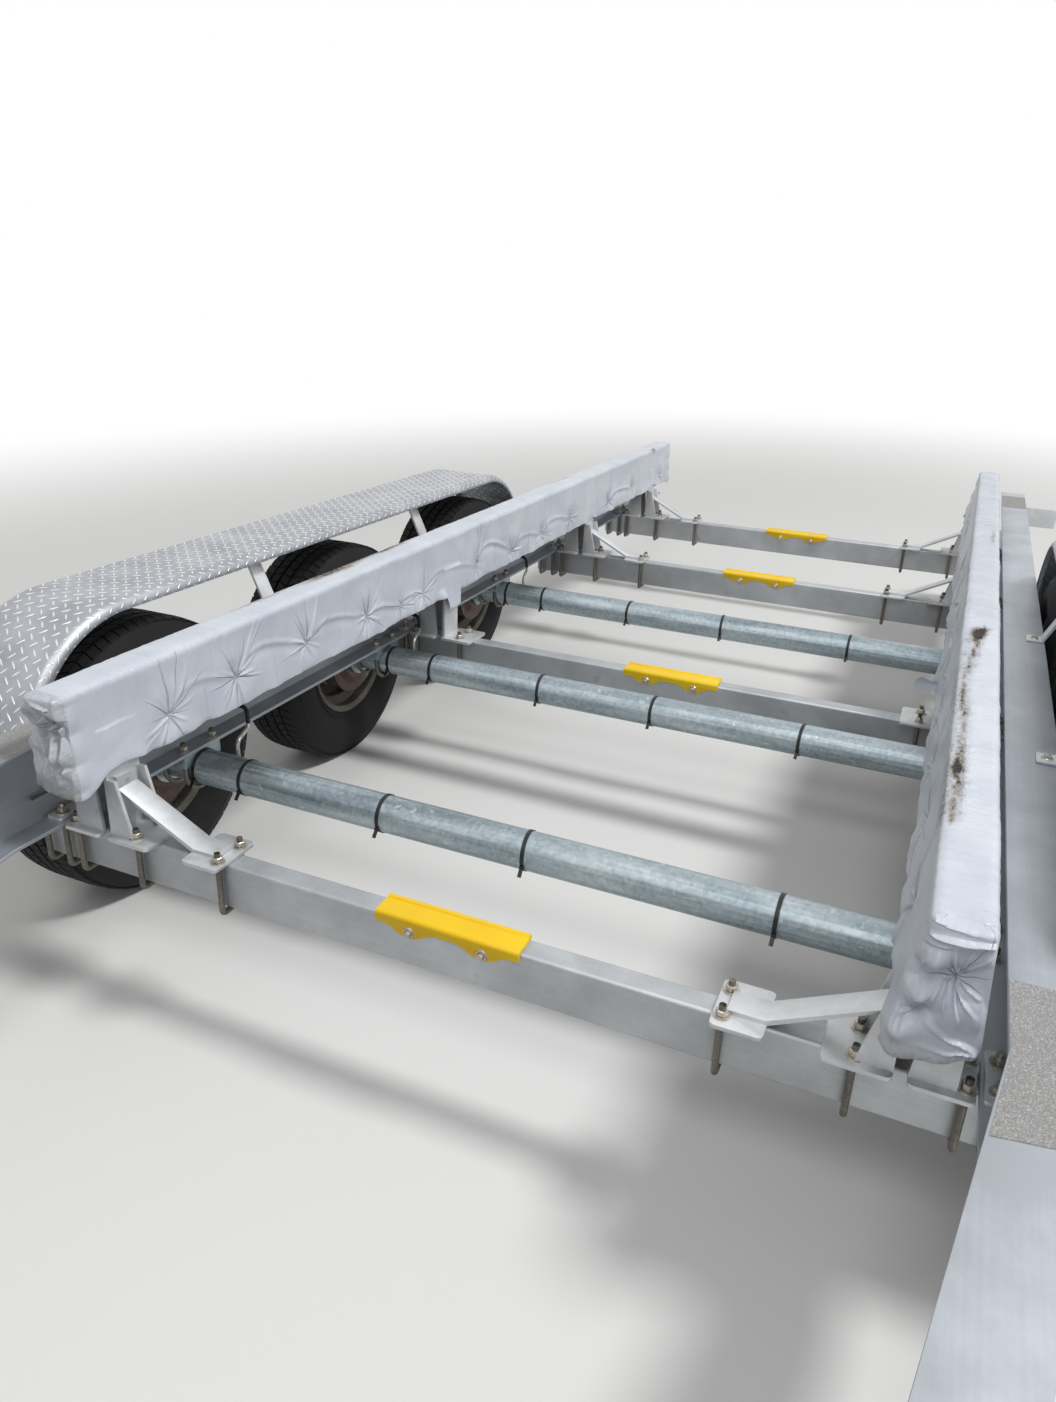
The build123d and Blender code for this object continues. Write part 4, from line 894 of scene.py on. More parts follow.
def grip_patch(side, first, last):
    """A thin sheet over one rail's top flange between two reaches, bent where the rail bends."""
    bm = bmesh.new()
    segments = 2 if first < RAIL_BEND_REACH < last else 1
    bmesh.ops.create_grid(bm, x_segments=1, y_segments=segments, size=0.5)
    half = RAIL_FLANGE / 2 - PATCH_INSET
    for vert in bm.verts:
        reach = first if vert.co.y < -0.25 else last
        if segments == 2 and abs(vert.co.y) < 0.25:
            reach = RAIL_BEND_REACH
        offset = math.copysign(half, vert.co.x)
        behind = max(0.0, RAIL_BEND_REACH - reach)
        turn = RAIL_BEND if behind > 0 else (RAIL_BEND / 2 if reach == RAIL_BEND_REACH else 0.0)
        across = Vector((math.cos(turn), side * math.sin(turn))) * offset
        middle_x = side * (RAIL_X - behind * math.tan(RAIL_BEND))
        if reach == RAIL_BEND_REACH:
            across /= math.cos(turn)
        vert.co = Vector((middle_x + across.x, along(reach) + across.y, rail_high.z))
    raised = bmesh.ops.extrude_face_region(bm, geom=list(bm.faces))
    bmesh.ops.translate(bm, vec=(0, 0, PATCH_GAUGE), verts=new_verts(raised))
    return bm


for side_name, side in SIDES.items():
    for number, (first, last) in enumerate(PATCHES, 1):
        make_piece(grip_patch(side, first, last), f"grip_patch_{side_name}_{number}", grit)

# %% [markdown]
# ## Tread bars
# The fenders' raised bars are small lozenges with sloping sides, because light catches those slopes as one walks
# past. Each is placed by the same two distances that the material uses, turned one way or the other in turn,
# and bent with the sheet round its ends.

# %% Tread bars
BAR_SINK = 0.0002


def tread_bar():
    """One lozenge, seated at z 0 with its long way along X."""
    bm = bmesh.new()
    bmesh.ops.create_circle(bm, cap_ends=True, segments=8, radius=0.5,
                            matrix=at(0, 0, -BAR_SINK) @ stretched(BAR_LENGTH, BAR_WIDTH))
    top = new_verts(bmesh.ops.extrude_face_region(bm, geom=list(bm.faces)))
    bmesh.ops.scale(bm, vec=(0.80, 0.42, 1.0), verts=top)
    bmesh.ops.translate(bm, vec=(0, 0, BAR_HEIGHT + BAR_SINK), verts=top)
    bmesh.ops.delete(bm, geom=[f for f in bm.faces if all(v.co.z < 0 for v in f.verts)], context="FACES_ONLY")
    return bm


def bar_places(side):
    """A matrix for every bar of one fender."""
    places = []
    straight = FENDER_HALF - FENDER_BEND
    bend_end = straight + FENDER_BEND * math.pi / 2
    length = bend_end + FENDER_TOP - FENDER_BEND - fender_low.z - BAR_PITCH / 3
    steps = range(-int(2 * length / BAR_PITCH), int(2 * length / BAR_PITCH) + 1)
    for column in steps:
        distance = abs(column) * BAR_PITCH / 2
        end = -1 if column < 0 else 1
        turn = min(max(distance - straight, 0.0), bend_end - straight) / FENDER_BEND
        hanging = max(distance - bend_end, 0.0)
        y = end * (min(distance, straight) + FENDER_BEND * math.sin(turn))
        z = FENDER_TOP - FENDER_BEND * (1 - math.cos(turn)) - hanging
        rearward = Vector((0, math.cos(turn), -end * math.sin(turn)))
        out = Vector((0, end * math.sin(turn), math.cos(turn)))
        lean = -1 if column % 2 else 1
        for row in range(-8, 9):
            across = row * BAR_PITCH / 2
            if (row - column) % 2 or abs(across) > FENDER_FLAT - BAR_LENGTH * 0.3:
                continue
            long_way = (rearward + Vector((side * lean, 0, 0))).normalized()
            spot = Matrix((long_way, out.cross(long_way), out)).transposed().to_4x4()
            places.append(at(side * (FENDER_MIDDLE_X + across), middle_axle_y + y, z) @ spot)
    return places


for side_name, side in SIDES.items():
    make_piece(repeated(tread_bar(), bar_places(side)), f"tread_bars_{side_name}", aluminium_tread,
               sharp=50.0)

# %% [markdown]
# ## Tyres
# A trailer tyre has a smooth sidewall with a few moulded rings, and a tread of five ribs that are cut
# into blocks. The sidewall and the groove floors are one profile that is spun round the axle. The blocks stand
# on it: one slanted block for each rib, repeated seventy-two times round the wheel.

# %% Tyre
TREAD_PITCHES = 72
GROOVE = 0.0075
BLOCK_GAP = 0.0042
BLOCK_SLANT = 0.006
SHOULDER = 0.086
BEAD_RADIUS = 0.1905
BEAD_HALF = 0.077
HALF_SECTION = 0.110
# outline from the inner bead to the tread's middle: x from the wheel's middle, radius
TYRE_OUTLINE = [
    (0.055, 0.1990), (BEAD_HALF - 0.012, BEAD_RADIUS), (BEAD_HALF, BEAD_RADIUS), (BEAD_HALF + 0.006, 0.2020),
    (0.0975, 0.2180), (0.0990, 0.2230), (0.0965, 0.2250), (0.1035, 0.2420), (0.1085, 0.2600),
    (HALF_SECTION, 0.2740), (0.1090, 0.2900), (0.1065, 0.3060), (0.1080, 0.3085), (0.1040, 0.3140),
    (0.0985, 0.3300), (0.0900, 0.3440), (SHOULDER - 0.004, TYRE_RADIUS - GROOVE),
]
# middle of each rib and its width, across the tread
RIBS = [(-0.069, 0.034), (-0.034, 0.026), (0.0, 0.028), (0.034, 0.026), (0.069, 0.034)]


def tyre_shape(seed):
    """A whole tyre round the X axis, with its tread blocks."""
    bm = bmesh.new()
    outline = [(-x, r) for x, r in TYRE_OUTLINE] + [(x, r) for x, r in reversed(TYRE_OUTLINE)]
    last = bm.verts.new((outline[0][0], 0, outline[0][1]))
    for x, r in outline[1:]:
        vert = bm.verts.new((x, 0, r))
        bm.edges.new((last, vert))
        last = vert
    bmesh.ops.spin(bm, geom=list(bm.verts) + list(bm.edges), cent=(0, 0, 0), axis=(1, 0, 0), angle=2 * math.pi,
                   steps=TREAD_PITCHES, use_merge=True, use_duplicate=False)
    block_mesh = bmesh.new()
    pitch = 2 * math.pi * TYRE_RADIUS / TREAD_PITCHES
    for index, (middle, width) in enumerate(RIBS):
        result = bmesh.ops.create_cube(block_mesh, size=1.0)
        slant = BLOCK_SLANT * (1 if index % 2 else -1)
        edge_rib = index in (0, len(RIBS) - 1)
        for vert in result["verts"]:
            outer = vert.co.z > 0
            x = middle + vert.co.x * width * (0.94 if outer else 1.0)
            fall = 0.0035 if edge_rib and abs(x) > 0.075 and outer else 0.0
            y = vert.co.y * (pitch - BLOCK_GAP) + slant * vert.co.x * 2
            z = TYRE_RADIUS - 0.0003 - fall if outer else TYRE_RADIUS - GROOVE - 0.0006
            vert.co = Vector((x, y, z))
        bottom = [f for f in block_mesh.faces if all(v.co.z < TYRE_RADIUS - GROOVE for v in f.verts)]
        bmesh.ops.delete(block_mesh, geom=bottom, context="FACES_ONLY")
    spots = [turned(360 / TREAD_PITCHES * (step + 0.5), "X") for step in range(TREAD_PITCHES)]
    blocks_mesh = as_mesh(repeated(block_mesh, spots), "blocks")
    bmesh.ops.remove_doubles(bm, verts=bm.verts, dist=0.00005)
    bmesh.ops.recalc_face_normals(bm, faces=bm.faces)
    bm.from_mesh(blocks_mesh)
    bpy.data.meshes.remove(blocks_mesh)
    bmesh.ops.rotate(bm, cent=(0, 0, 0), matrix=turned(seed * 37.0, "X").to_3x3(), verts=bm.verts)
    return bm


for side_name, side in SIDES.items():
    for number, reach in AXLES.items():
        bm = tyre_shape(number + (3 if side > 0 else 0))
        bmesh.ops.translate(bm, vec=(side * WHEEL_X, along(reach), WHEEL_Z), verts=bm.verts)
        tyre = make_piece(bm, f"tyre_tread_{side_name}_{number}", tyre_rubber,
                          body=f"wheel_{side_name}_{number}", sharp=30.0)
        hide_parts(f"tyre_{side_name}_{number}")

# %% [markdown]
# ## The white film round the bunks
# The film is one sheet per bunk. It starts at the inner bottom edge, runs up the inner side, over the top
# and down the outer side. Staples pin it to the timber, and it swags from one to the next like a tufted cushion.
# So the sheet is a fine grid that is laid on that path and pushed in and out: in at the staples, out along
# the folds. A simulation would place its own folds, while these have to lie where the photograph shows them.
# The grid is closest where folds are many, on the inner side and towards the front.

# %% Film's section
FILM_COLUMNS = 820
SIDE_ROWS, CORNER_ROWS, TOP_ROWS, OUTER_ROWS = 58, 4, 8, 26
FILM_ROWS = SIDE_ROWS + 2 * CORNER_ROWS + TOP_ROWS + OUTER_ROWS
FILM_CORNER = 0.0155
INNER_TOP = 0.776
OUTER_TOP = 0.866
OUTER_FLARE = 0.013
BUNK_TOP = wrap_high.z
BUNK_BOTTOM = wrap_low.z
CORNER_Z = BUNK_TOP - FILM_CORNER
FILM_FRONT = wrap_low.y
FILM_REAR = wrap_high.y
# how far the inner side stands out at its lower edge, and that edge's height
FLARE = {"left": 0.011, "right": 0.029}
HEM = {"left": 0.557, "right": 0.550}
# the brackets under the film: top, half width of what the film clears, and the film's own room over its timber
BRACKET_TOP = 0.652
BRACKET_HALF = 0.055
FILM_ROOM = 0.0012
# stands for no staple near
FAR = 9.0


def value_noise(a, b, size, seed):
    """Smooth noise from -1 to 1 over two coordinates in metres, with cells of one size."""
    rng = np.random.default_rng(seed)
    lattice = rng.uniform(-1, 1, (256, 256))
    u, v = a / size, b / size
    i, j = np.floor(u).astype(int), np.floor(v).astype(int)
    s, t = u - i, v - j
    s, t = s * s * (3 - 2 * s), t * t * (3 - 2 * t)
    near = lattice[i % 256, j % 256] * (1 - s) + lattice[(i + 1) % 256, j % 256] * s
    far = lattice[i % 256, (j + 1) % 256] * (1 - s) + lattice[(i + 1) % 256, (j + 1) % 256] * s
    return near * (1 - t) + far * t


def wave(y, size, seed):
    """Smooth noise from -1 to 1 along the trailer alone."""
    return value_noise(y, y * 0, size, seed)


def bell(value, width):
    """1 at zero, falling off smoothly over a width."""
    return np.exp(-(value / width) ** 2)


def from_ends(y):
    """Distance to the nearer end of the bunk."""
    return np.minimum(y - FILM_FRONT, FILM_REAR - y)


def hem_level(side_name, face, y):
    """Height of the film's lower edge on one face at each y."""
    seed = 5 if side_name == "left" else 9
    level = HEM[side_name] + 0.0035 * wave(y, 0.13, seed) + 0.0018 * wave(y, 0.03, seed)
    for reach, braced in CROSSMEMBERS.values():
        off = np.abs(y - along(reach))
        if face == "inner" and braced:
            level = level + 0.012 * bell(off, 0.055)
        elif face == "inner":
            level = level - 0.044 * np.clip((0.056 - off) / 0.012, 0, 1)
    hang = {"inner": 0.024, "outer": 0.004}[face]
    return level - hang * bell(from_ends(y), 0.045)


def rim_wave(z):
    """How far the film's end corner stands out sideways: three lobes between two nicks."""
    share = np.clip((z - BUNK_BOTTOM) / (CORNER_Z - BUNK_BOTTOM), 0, 1)
    return (0.0055 * np.abs(np.sin(3 * math.pi * share ** 0.9)) - 0.003) * np.clip((1 - share) / 0.06, 0, 1)


def hanging(z):
    """How far down a side a height is: 0 at the rounded top edge and 1 at the bunk's bottom."""
    return np.clip((CORNER_Z - z) / (CORNER_Z - BUNK_BOTTOM), 0, 1.3)


def film_section(side_name, row, y):
    """The section at each row and y: x, z, the outward direction's x and z, and the distance walked."""
    low_in, low_out = hem_level(side_name, "inner", y), hem_level(side_name, "outer", y)
    ends = from_ends(y)
    shares, start = [], 0
    for rows in (SIDE_ROWS, CORNER_ROWS, TOP_ROWS, CORNER_ROWS, OUTER_ROWS):
        shares.append(np.clip((row - start) / rows, 0, 1))
        start += rows
    up, first, level, second, down = shares
    first, second = first * math.pi / 2, second * math.pi / 2
    z_in = low_in + up * (CORNER_Z - low_in)
    x_in = INNER_TOP - FLARE[side_name] * hanging(z_in) ** 1.25 - rim_wave(z_in) * bell(ends, 0.03) * (up < 1)
    width = OUTER_TOP - INNER_TOP - 2 * FILM_CORNER
    x = x_in + FILM_CORNER * (1 - np.cos(first)) + level * width + FILM_CORNER * np.sin(second)
    x = x + OUTER_FLARE * down ** 1.2
    z = z_in + FILM_CORNER * np.sin(first) - FILM_CORNER * (1 - np.cos(second)) - down * (CORNER_Z - low_out)
    walked = up * (CORNER_Z - low_in) + FILM_CORNER * (first + second) + level * width + down * (CORNER_Z - low_out)
    return x, z, np.sin(second) - np.cos(first), np.sin(first) * np.cos(second), walked


def beside_line(a, b, start, end):
    """Where points lie by a line: the share walked along it, how far off it they are, and its length."""
    da, db = end[0] - start[0], end[1] - start[1]
    length = math.hypot(da, db)
    share = ((a - start[0]) * da + (b - start[1]) * db) / length ** 2
    return share, ((a - start[0]) * db - (b - start[1]) * da) / length, length


def fold(a, b, start, end, height, width):
    """A ridge along the line from start to end: tall and thin at its start."""
    share, off, length = beside_line(a, b, start, end)
    inside = np.clip(share, 0, 1)
    q = (off / (width * (0.55 + 0.9 * inside))) ** 2 + (np.abs(share - inside) * length / width) ** 2
    return height * (1 - inside) ** 0.7 * (1 - 1.2 * q) * np.exp(-q)


def film_grid(name, columns, rows):
    """A flat mesh of film, with the shares across and up it of each vertex."""
    bm = bmesh.new()
    bm.loops.layers.uv.new("film")
    bmesh.ops.create_grid(bm, x_segments=columns, y_segments=rows, size=0.5, calc_uvs=True)
    mesh = as_mesh(bm, name)
    grid = np.zeros(len(mesh.vertices) * 3)
    mesh.vertices.foreach_get("co", grid)
    grid = grid.reshape(-1, 3)
    return mesh, grid[:, 0] + 0.5, grid[:, 1] + 0.5


def write_film(mesh, places, wear_and_shade, ripple, staple, flat=None):
    """Move a film mesh's vertices, and write its attributes and, where they are given, its flat coordinates."""
    mesh.vertices.foreach_set("co", np.stack(places, 1).ravel())
    for name, kind, key, values in (("wear_and_shade", "FLOAT", "value", wear_and_shade), ("ripple", "FLOAT", "value", ripple),
                                    ("staple", "FLOAT_VECTOR", "vector", staple.ravel())):
        mesh.attributes.new(name, kind, "POINT").data.foreach_set(key, values)
    if flat:
        uv = mesh.uv_layers["film"].data
        corner_of = np.zeros(len(uv), dtype=int)
        mesh.loops.foreach_get("vertex_index", corner_of)
        uv.foreach_set("uv", np.stack(flat, 1)[corner_of].ravel())
    return mesh


print("film grid:", FILM_COLUMNS, "by", FILM_ROWS)

# %% [markdown]
# Staples sit in the lower third of each side, at uneven distances. Each row below is one staple: its reach,
# its height and how hard it pulls. The longest folds lean the way that the film was pulled, up and to the rear
# and down and forward, and an arched ridge runs from a staple to the next where that is near.

# %% Staples and folds
# reach, height above the ground, pull
STAPLES = {
    ("left", "inner"): [
        (-1.119, 0.615, 1.0), (-0.893, 0.626, 1.0), (-0.616, 0.626, 0.9), (-0.327, 0.618, 1.0), (-0.143, 0.600, 0.6),
        (-0.001, 0.602, 0.7), (0.370, 0.612, 0.7), (0.668, 0.596, 0.9), (0.947, 0.602, 0.8), (1.255, 0.610, 0.8),
        (1.727, 0.600, 0.8), (2.070, 0.612, 0.8), (2.520, 0.606, 0.8),
    ],
    ("right", "inner"): [
        (-1.140, 0.610, 1.0), (-0.860, 0.622, 0.9), (-0.590, 0.604, 0.9), (-0.300, 0.618, 0.8), (0.020, 0.606, 0.8),
        (0.420, 0.616, 0.8), (0.760, 0.600, 0.7), (1.150, 0.612, 0.8), (1.790, 0.606, 0.8), (2.180, 0.600, 0.7),
    ],
    ("left", "outer"): [
        (-1.090, 0.612, 0.7), (-0.620, 0.606, 0.7), (-0.180, 0.616, 0.7), (0.480, 0.606, 0.6), (1.060, 0.612, 0.7),
        (1.830, 0.604, 0.7), (2.240, 0.612, 0.6),
    ],
    ("right", "outer"): [
        (-1.060, 0.606, 0.7), (-0.660, 0.614, 0.7), (-0.210, 0.604, 0.7), (0.440, 0.612, 0.6), (1.010, 0.606, 0.7),
        (1.790, 0.614, 0.7), (2.200, 0.602, 0.6),
    ],
}
# direction in degrees from the rear, up, and length in metres of the folds that every staple has
SPOKES = [(6, 0.075), (30, 0.095), (52, 0.145), (64, 0.125), (84, 0.080), (112, 0.060), (150, 0.055),
          (186, 0.065), (214, 0.085), (238, 0.095), (262, 0.060), (296, 0.050), (330, 0.060)]
# of the dimple at a staple, of each fold, and of the arched ridge to the next staple, in metres
DIMPLE_DEPTH, DIMPLE_RADIUS = 0.0125, 0.024
SPOKE_HEIGHT, SPOKE_WIDTH = 0.0046, 0.0047
ARCH_HEIGHT, ARCH_WIDTH = 0.0042, 0.0070


def staple_folds(y, z, room, staples, seed):
    """Height that the staples add to one side, and the way to the nearest staple with a number of its own."""
    rng = random.Random(seed)
    height = np.zeros_like(y)
    nearest = np.full((len(y), 3), FAR)
    for index, (reach, level, pull) in enumerate(staples):
        near = np.abs(y - along(reach)) < 0.30
        yy, zz = y[near], z[near]
        here = (along(reach), level)
        distance = np.hypot(yy - here[0], zz - here[1])
        depth = np.minimum(DIMPLE_DEPTH, 0.88 * room[near])
        total = -pull * depth * np.exp(-(distance / DIMPLE_RADIUS) ** 1.15)
        total += 0.0026 * pull * bell(distance - 0.058, 0.026)
        spokes = np.zeros_like(yy)
        for degrees, length in SPOKES:
            angle = math.radians(degrees + rng.uniform(-11, 11))
            reach_out = length * rng.uniform(0.75, 1.35)
            tip = (here[0] + reach_out * math.cos(angle), here[1] + reach_out * math.sin(angle))
            size = SPOKE_HEIGHT * pull * rng.choice((0.35, 0.7, 1.0, 1.35))
            spokes += fold(yy, zz, here, tip, size, SPOKE_WIDTH)
        total += np.clip(spokes, -0.004, 0.0065) * np.clip(distance / 0.015, 0, 1)
        height[near] += total
        closer = distance < np.hypot(nearest[near, 0], nearest[near, 1])
        rows = np.flatnonzero(near)[closer]
        nearest[rows, 0] = yy[closer] - here[0]
        nearest[rows, 1] = zz[closer] - here[1]
        nearest[rows, 2] = index * 3.7 + seed
        gap = staples[index + 1][0] - reach if index + 1 < len(staples) else FAR
        if gap < 0.40:
            share = np.clip((y - here[0]) / gap, 0, 1)
            arch = level + (staples[index + 1][1] - level) * share
            arch = arch + min(0.055, 0.20 * gap) * rng.uniform(0.5, 1.1) * np.sin(math.pi * share ** 0.62)
            swell = np.sin(math.pi * share) ** 0.5 * rng.uniform(0.45, 1.0)
            height += swell * (ARCH_HEIGHT * bell(z - arch, ARCH_WIDTH) - 0.0032 * bell(z - arch + 0.016, 0.012))
    return height, nearest


# %% [markdown]
# The film is torn where boats and hands have rubbed it: over the outer half of the left bunk's top,
# and in a ragged line down the inner half of the right one's, with two places painted near black as holes,
# though the sheet there is only dented.
# A rubbed place is a soft oval. The tear is a table along the bunk, and the material breaks up their edges.

# %% Wear
# reach, distance from the middle, half length, half width, strength
RUBBED = {
    "left": [
        (-0.390, 0.846, 0.120, 0.017, 0.92), (-0.080, 0.852, 0.110, 0.013, 0.85), (-0.260, 0.855, 0.300, 0.012, 0.70),
        (-0.700, 0.850, 0.120, 0.008, 0.45), (2.420, 0.780, 0.030, 0.008, 0.70), (1.320, 0.850, 0.140, 0.006, 0.45),
    ],
    "right": [
        (-1.050, 0.777, 0.090, 0.016, 0.34), (-0.050, 0.814, 0.036, 0.014, 1.50), (-0.890, 0.795, 0.030, 0.009, 1.35),
        (1.150, 0.842, 0.120, 0.006, 0.50),
    ],
}
# reach, distance from the middle, half width, strength
TEAR = np.array([
    (-1.130, 0.790, 0.004, 0.00), (-1.100, 0.791, 0.004, 0.70), (-1.030, 0.792, 0.004, 0.85),
    (-0.970, 0.796, 0.005, 0.90), (-0.930, 0.795, 0.006, 0.95), (-0.890, 0.795, 0.010, 1.50),
    (-0.850, 0.795, 0.006, 0.95), (-0.790, 0.795, 0.005, 0.80), (-0.700, 0.797, 0.004, 0.50),
    (-0.620, 0.799, 0.005, 0.85), (-0.550, 0.791, 0.005, 0.80), (-0.490, 0.790, 0.005, 0.80),
    (-0.420, 0.794, 0.004, 0.48), (-0.335, 0.798, 0.005, 0.85), (-0.280, 0.801, 0.005, 0.55),
    (-0.236, 0.804, 0.005, 0.90), (-0.170, 0.808, 0.005, 0.65), (-0.110, 0.811, 0.007, 1.05),
    (-0.060, 0.812, 0.015, 1.80), (-0.020, 0.822, 0.013, 1.60), (0.010, 0.828, 0.006, 0.50),
    (0.050, 0.830, 0.004, 0.00),
])


def tear_distance(x, y):
    """Signed distance across from the right bunk's tear, and its half width and strength, at each point."""
    reach = y - middle_axle_y
    wander = 0.0030 * wave(y, 0.028, 44) + 0.0016 * wave(y, 0.009, 45)
    middle, half_width, strength = (np.interp(reach, TEAR[:, 0], TEAR[:, column]) for column in (1, 2, 3))
    return x + wander - middle, half_width, strength


def film_wear(side_name, x, y, z):
    """Wear from 0 to about 1.5 from each rubbed oval, the tear and the lower edge's dust; its highest is painted as
    black holes.
    """
    wear_and_shade = np.zeros_like(y)
    top = np.clip((z - (BUNK_TOP - 0.030)) / 0.02, 0, 1)
    wander = x + 0.003 * wave(y, 0.05, 41)
    for reach, middle, half_length, half_width, strength in RUBBED[side_name]:
        spot = strength * bell(y - along(reach), half_length) * bell(wander - middle, half_width)
        wear_and_shade = np.maximum(wear_and_shade, spot * top)
    if side_name == "right":
        off, half_width, strength = tear_distance(x, y)
        wear_and_shade = np.maximum(wear_and_shade, top * strength * bell(off, half_width))
        wear_and_shade = np.maximum(wear_and_shade, top * 0.30 * np.minimum(strength, 1) * bell(off, 0.020))
    low = hem_level(side_name, "inner", y)
    dust_and_shade = 0.36 * np.exp(-np.clip(z - low, 0, 1) / 0.010) * (0.6 + 0.4 * value_noise(y, z, 0.05, 43))
    return np.maximum(wear_and_shade, dust_and_shade)


# %% [markdown]
# The sheet is laid, folded, and held off the timber: wherever a fold would cut into the board
# or a bracket, the film stops a millimetre short of it. Over the plain brackets it lies on the upright
# and shows its square shape, and a loose flap of it stands out beside them.

# %% Film sheets


def film_sheet(side_name, side, seed):
    """The film over one bunk's two sides and top, and its width as it was cut."""
    mesh, column, row = film_grid(f"film_{side_name}", FILM_COLUMNS, FILM_ROWS)
    row = row * FILM_ROWS
    y = np.interp(column, (0, 0.012, 0.56, 1), (FILM_FRONT, FILM_FRONT + 0.030, along(0.30), FILM_REAR))
    x, z, normal_x, normal_z, walked = film_section(side_name, row, y)
    inner, outer = normal_x < -0.7, normal_x > 0.7
    over = 0.0016 + 0.0024 * (1 - 2 * np.abs(normal_x * normal_z))
    room = np.where(inner, board_low.x - x, np.where(outer, x - board_high.x, over)) - FILM_ROOM
    for reach, braced in CROSSMEMBERS.values():
        beside = (np.abs(y - along(reach)) < BRACKET_HALF - 0.003) & (z < BRACKET_TOP + 0.003)
        room = np.where(beside, room - PLATE - 0.0005, room)
    ends = from_ends(y)
    lift = 0.0030 * value_noise(y + 0.7 * z, z - 0.4 * y, 0.19, seed)
    lift += 0.0011 * value_noise(y, walked, 0.06, seed + 1)
    lift *= np.where(inner | outer, 0.5 + 0.5 * np.clip((BUNK_TOP - z) / 0.08, 0, 1), 0.30)
    staple = np.full((len(y), 3), FAR)
    for face, faced, offset in (("inner", inner, 0), ("outer", outer, 7)):
        added, nearest = staple_folds(y[faced], z[faced], np.maximum(room[faced], 0), STAPLES[side_name, face],
                                      seed + offset)
        lift[faced] += added
        staple[faced] = nearest
    near_hem = z - np.where(inner, hem_level(side_name, "inner", y), hem_level(side_name, "outer", y))
    lift += np.exp(-np.clip(near_hem, 0, 1) / 0.022) * 0.0045 * wave(y, 0.042, seed + 2) * (inner | outer)
    for reach, braced in CROSSMEMBERS.values():
        off = y - along(reach)
        if not braced:
            square = np.clip((BRACKET_HALF - np.abs(off)) / 0.006, 0, 1) * np.clip((BRACKET_TOP - z) / 0.006, 0, 1)
            flap = bell(off + 0.068, 0.019) * np.clip((0.588 - z) / 0.038, 0, 1)
            lift += inner * 0.0055 * square
            lift += inner * flap * 0.014
    wear_and_shade = film_wear(side_name, x, y, z)
    lift -= 0.004 * np.clip(wear_and_shade - 0.9, 0, 0.5) / 0.5
    ripple = np.where(inner | outer, 0.12 + 0.62 * np.exp(-np.clip(BUNK_TOP - z, 0, 1) / 0.030), 0.50)
    if side_name == "right":
        off, _, strength = tear_distance(x, y)
        beside = bell(np.abs(off) - 0.012, 0.012) * np.minimum(strength, 1) * (z > BUNK_TOP - 0.03)
        ripple += 1.3 * beside + 0.95 * np.clip((y - along(-0.05)) / 0.2, 0, 1) * (normal_z > 0.3)
        lift += 0.0026 * beside * value_noise(y, off * 0.5, 0.0090, 46)
    lift += 0.0013 * ripple * value_noise(y, walked * 0.14, 0.0085, 47)
    lift *= np.clip(ends / 0.010, 0, 1)
    lift = np.maximum(lift, -np.maximum(room, 0.0))
    ripple += 0.2 * np.exp(-ends / 0.020)
    places = (side * (x + lift * normal_x), y, z + lift * normal_z)
    return write_film(mesh, places, wear_and_shade, ripple, staple, (y, walked)), float(walked.max())


# %% [markdown]
# Each end is closed by the same film, folded in like a parcel and stapled once. The end is a grid over the section,
# whose rim meets the sheet. Its folds are read from a table for each bunk: a ridge, a pleat whose one side stands
# higher than the other, a dent or a bulge, all placed by their share of the end's width and height.

# %% Film ends
END_COLUMNS, END_ROWS = 72, 108
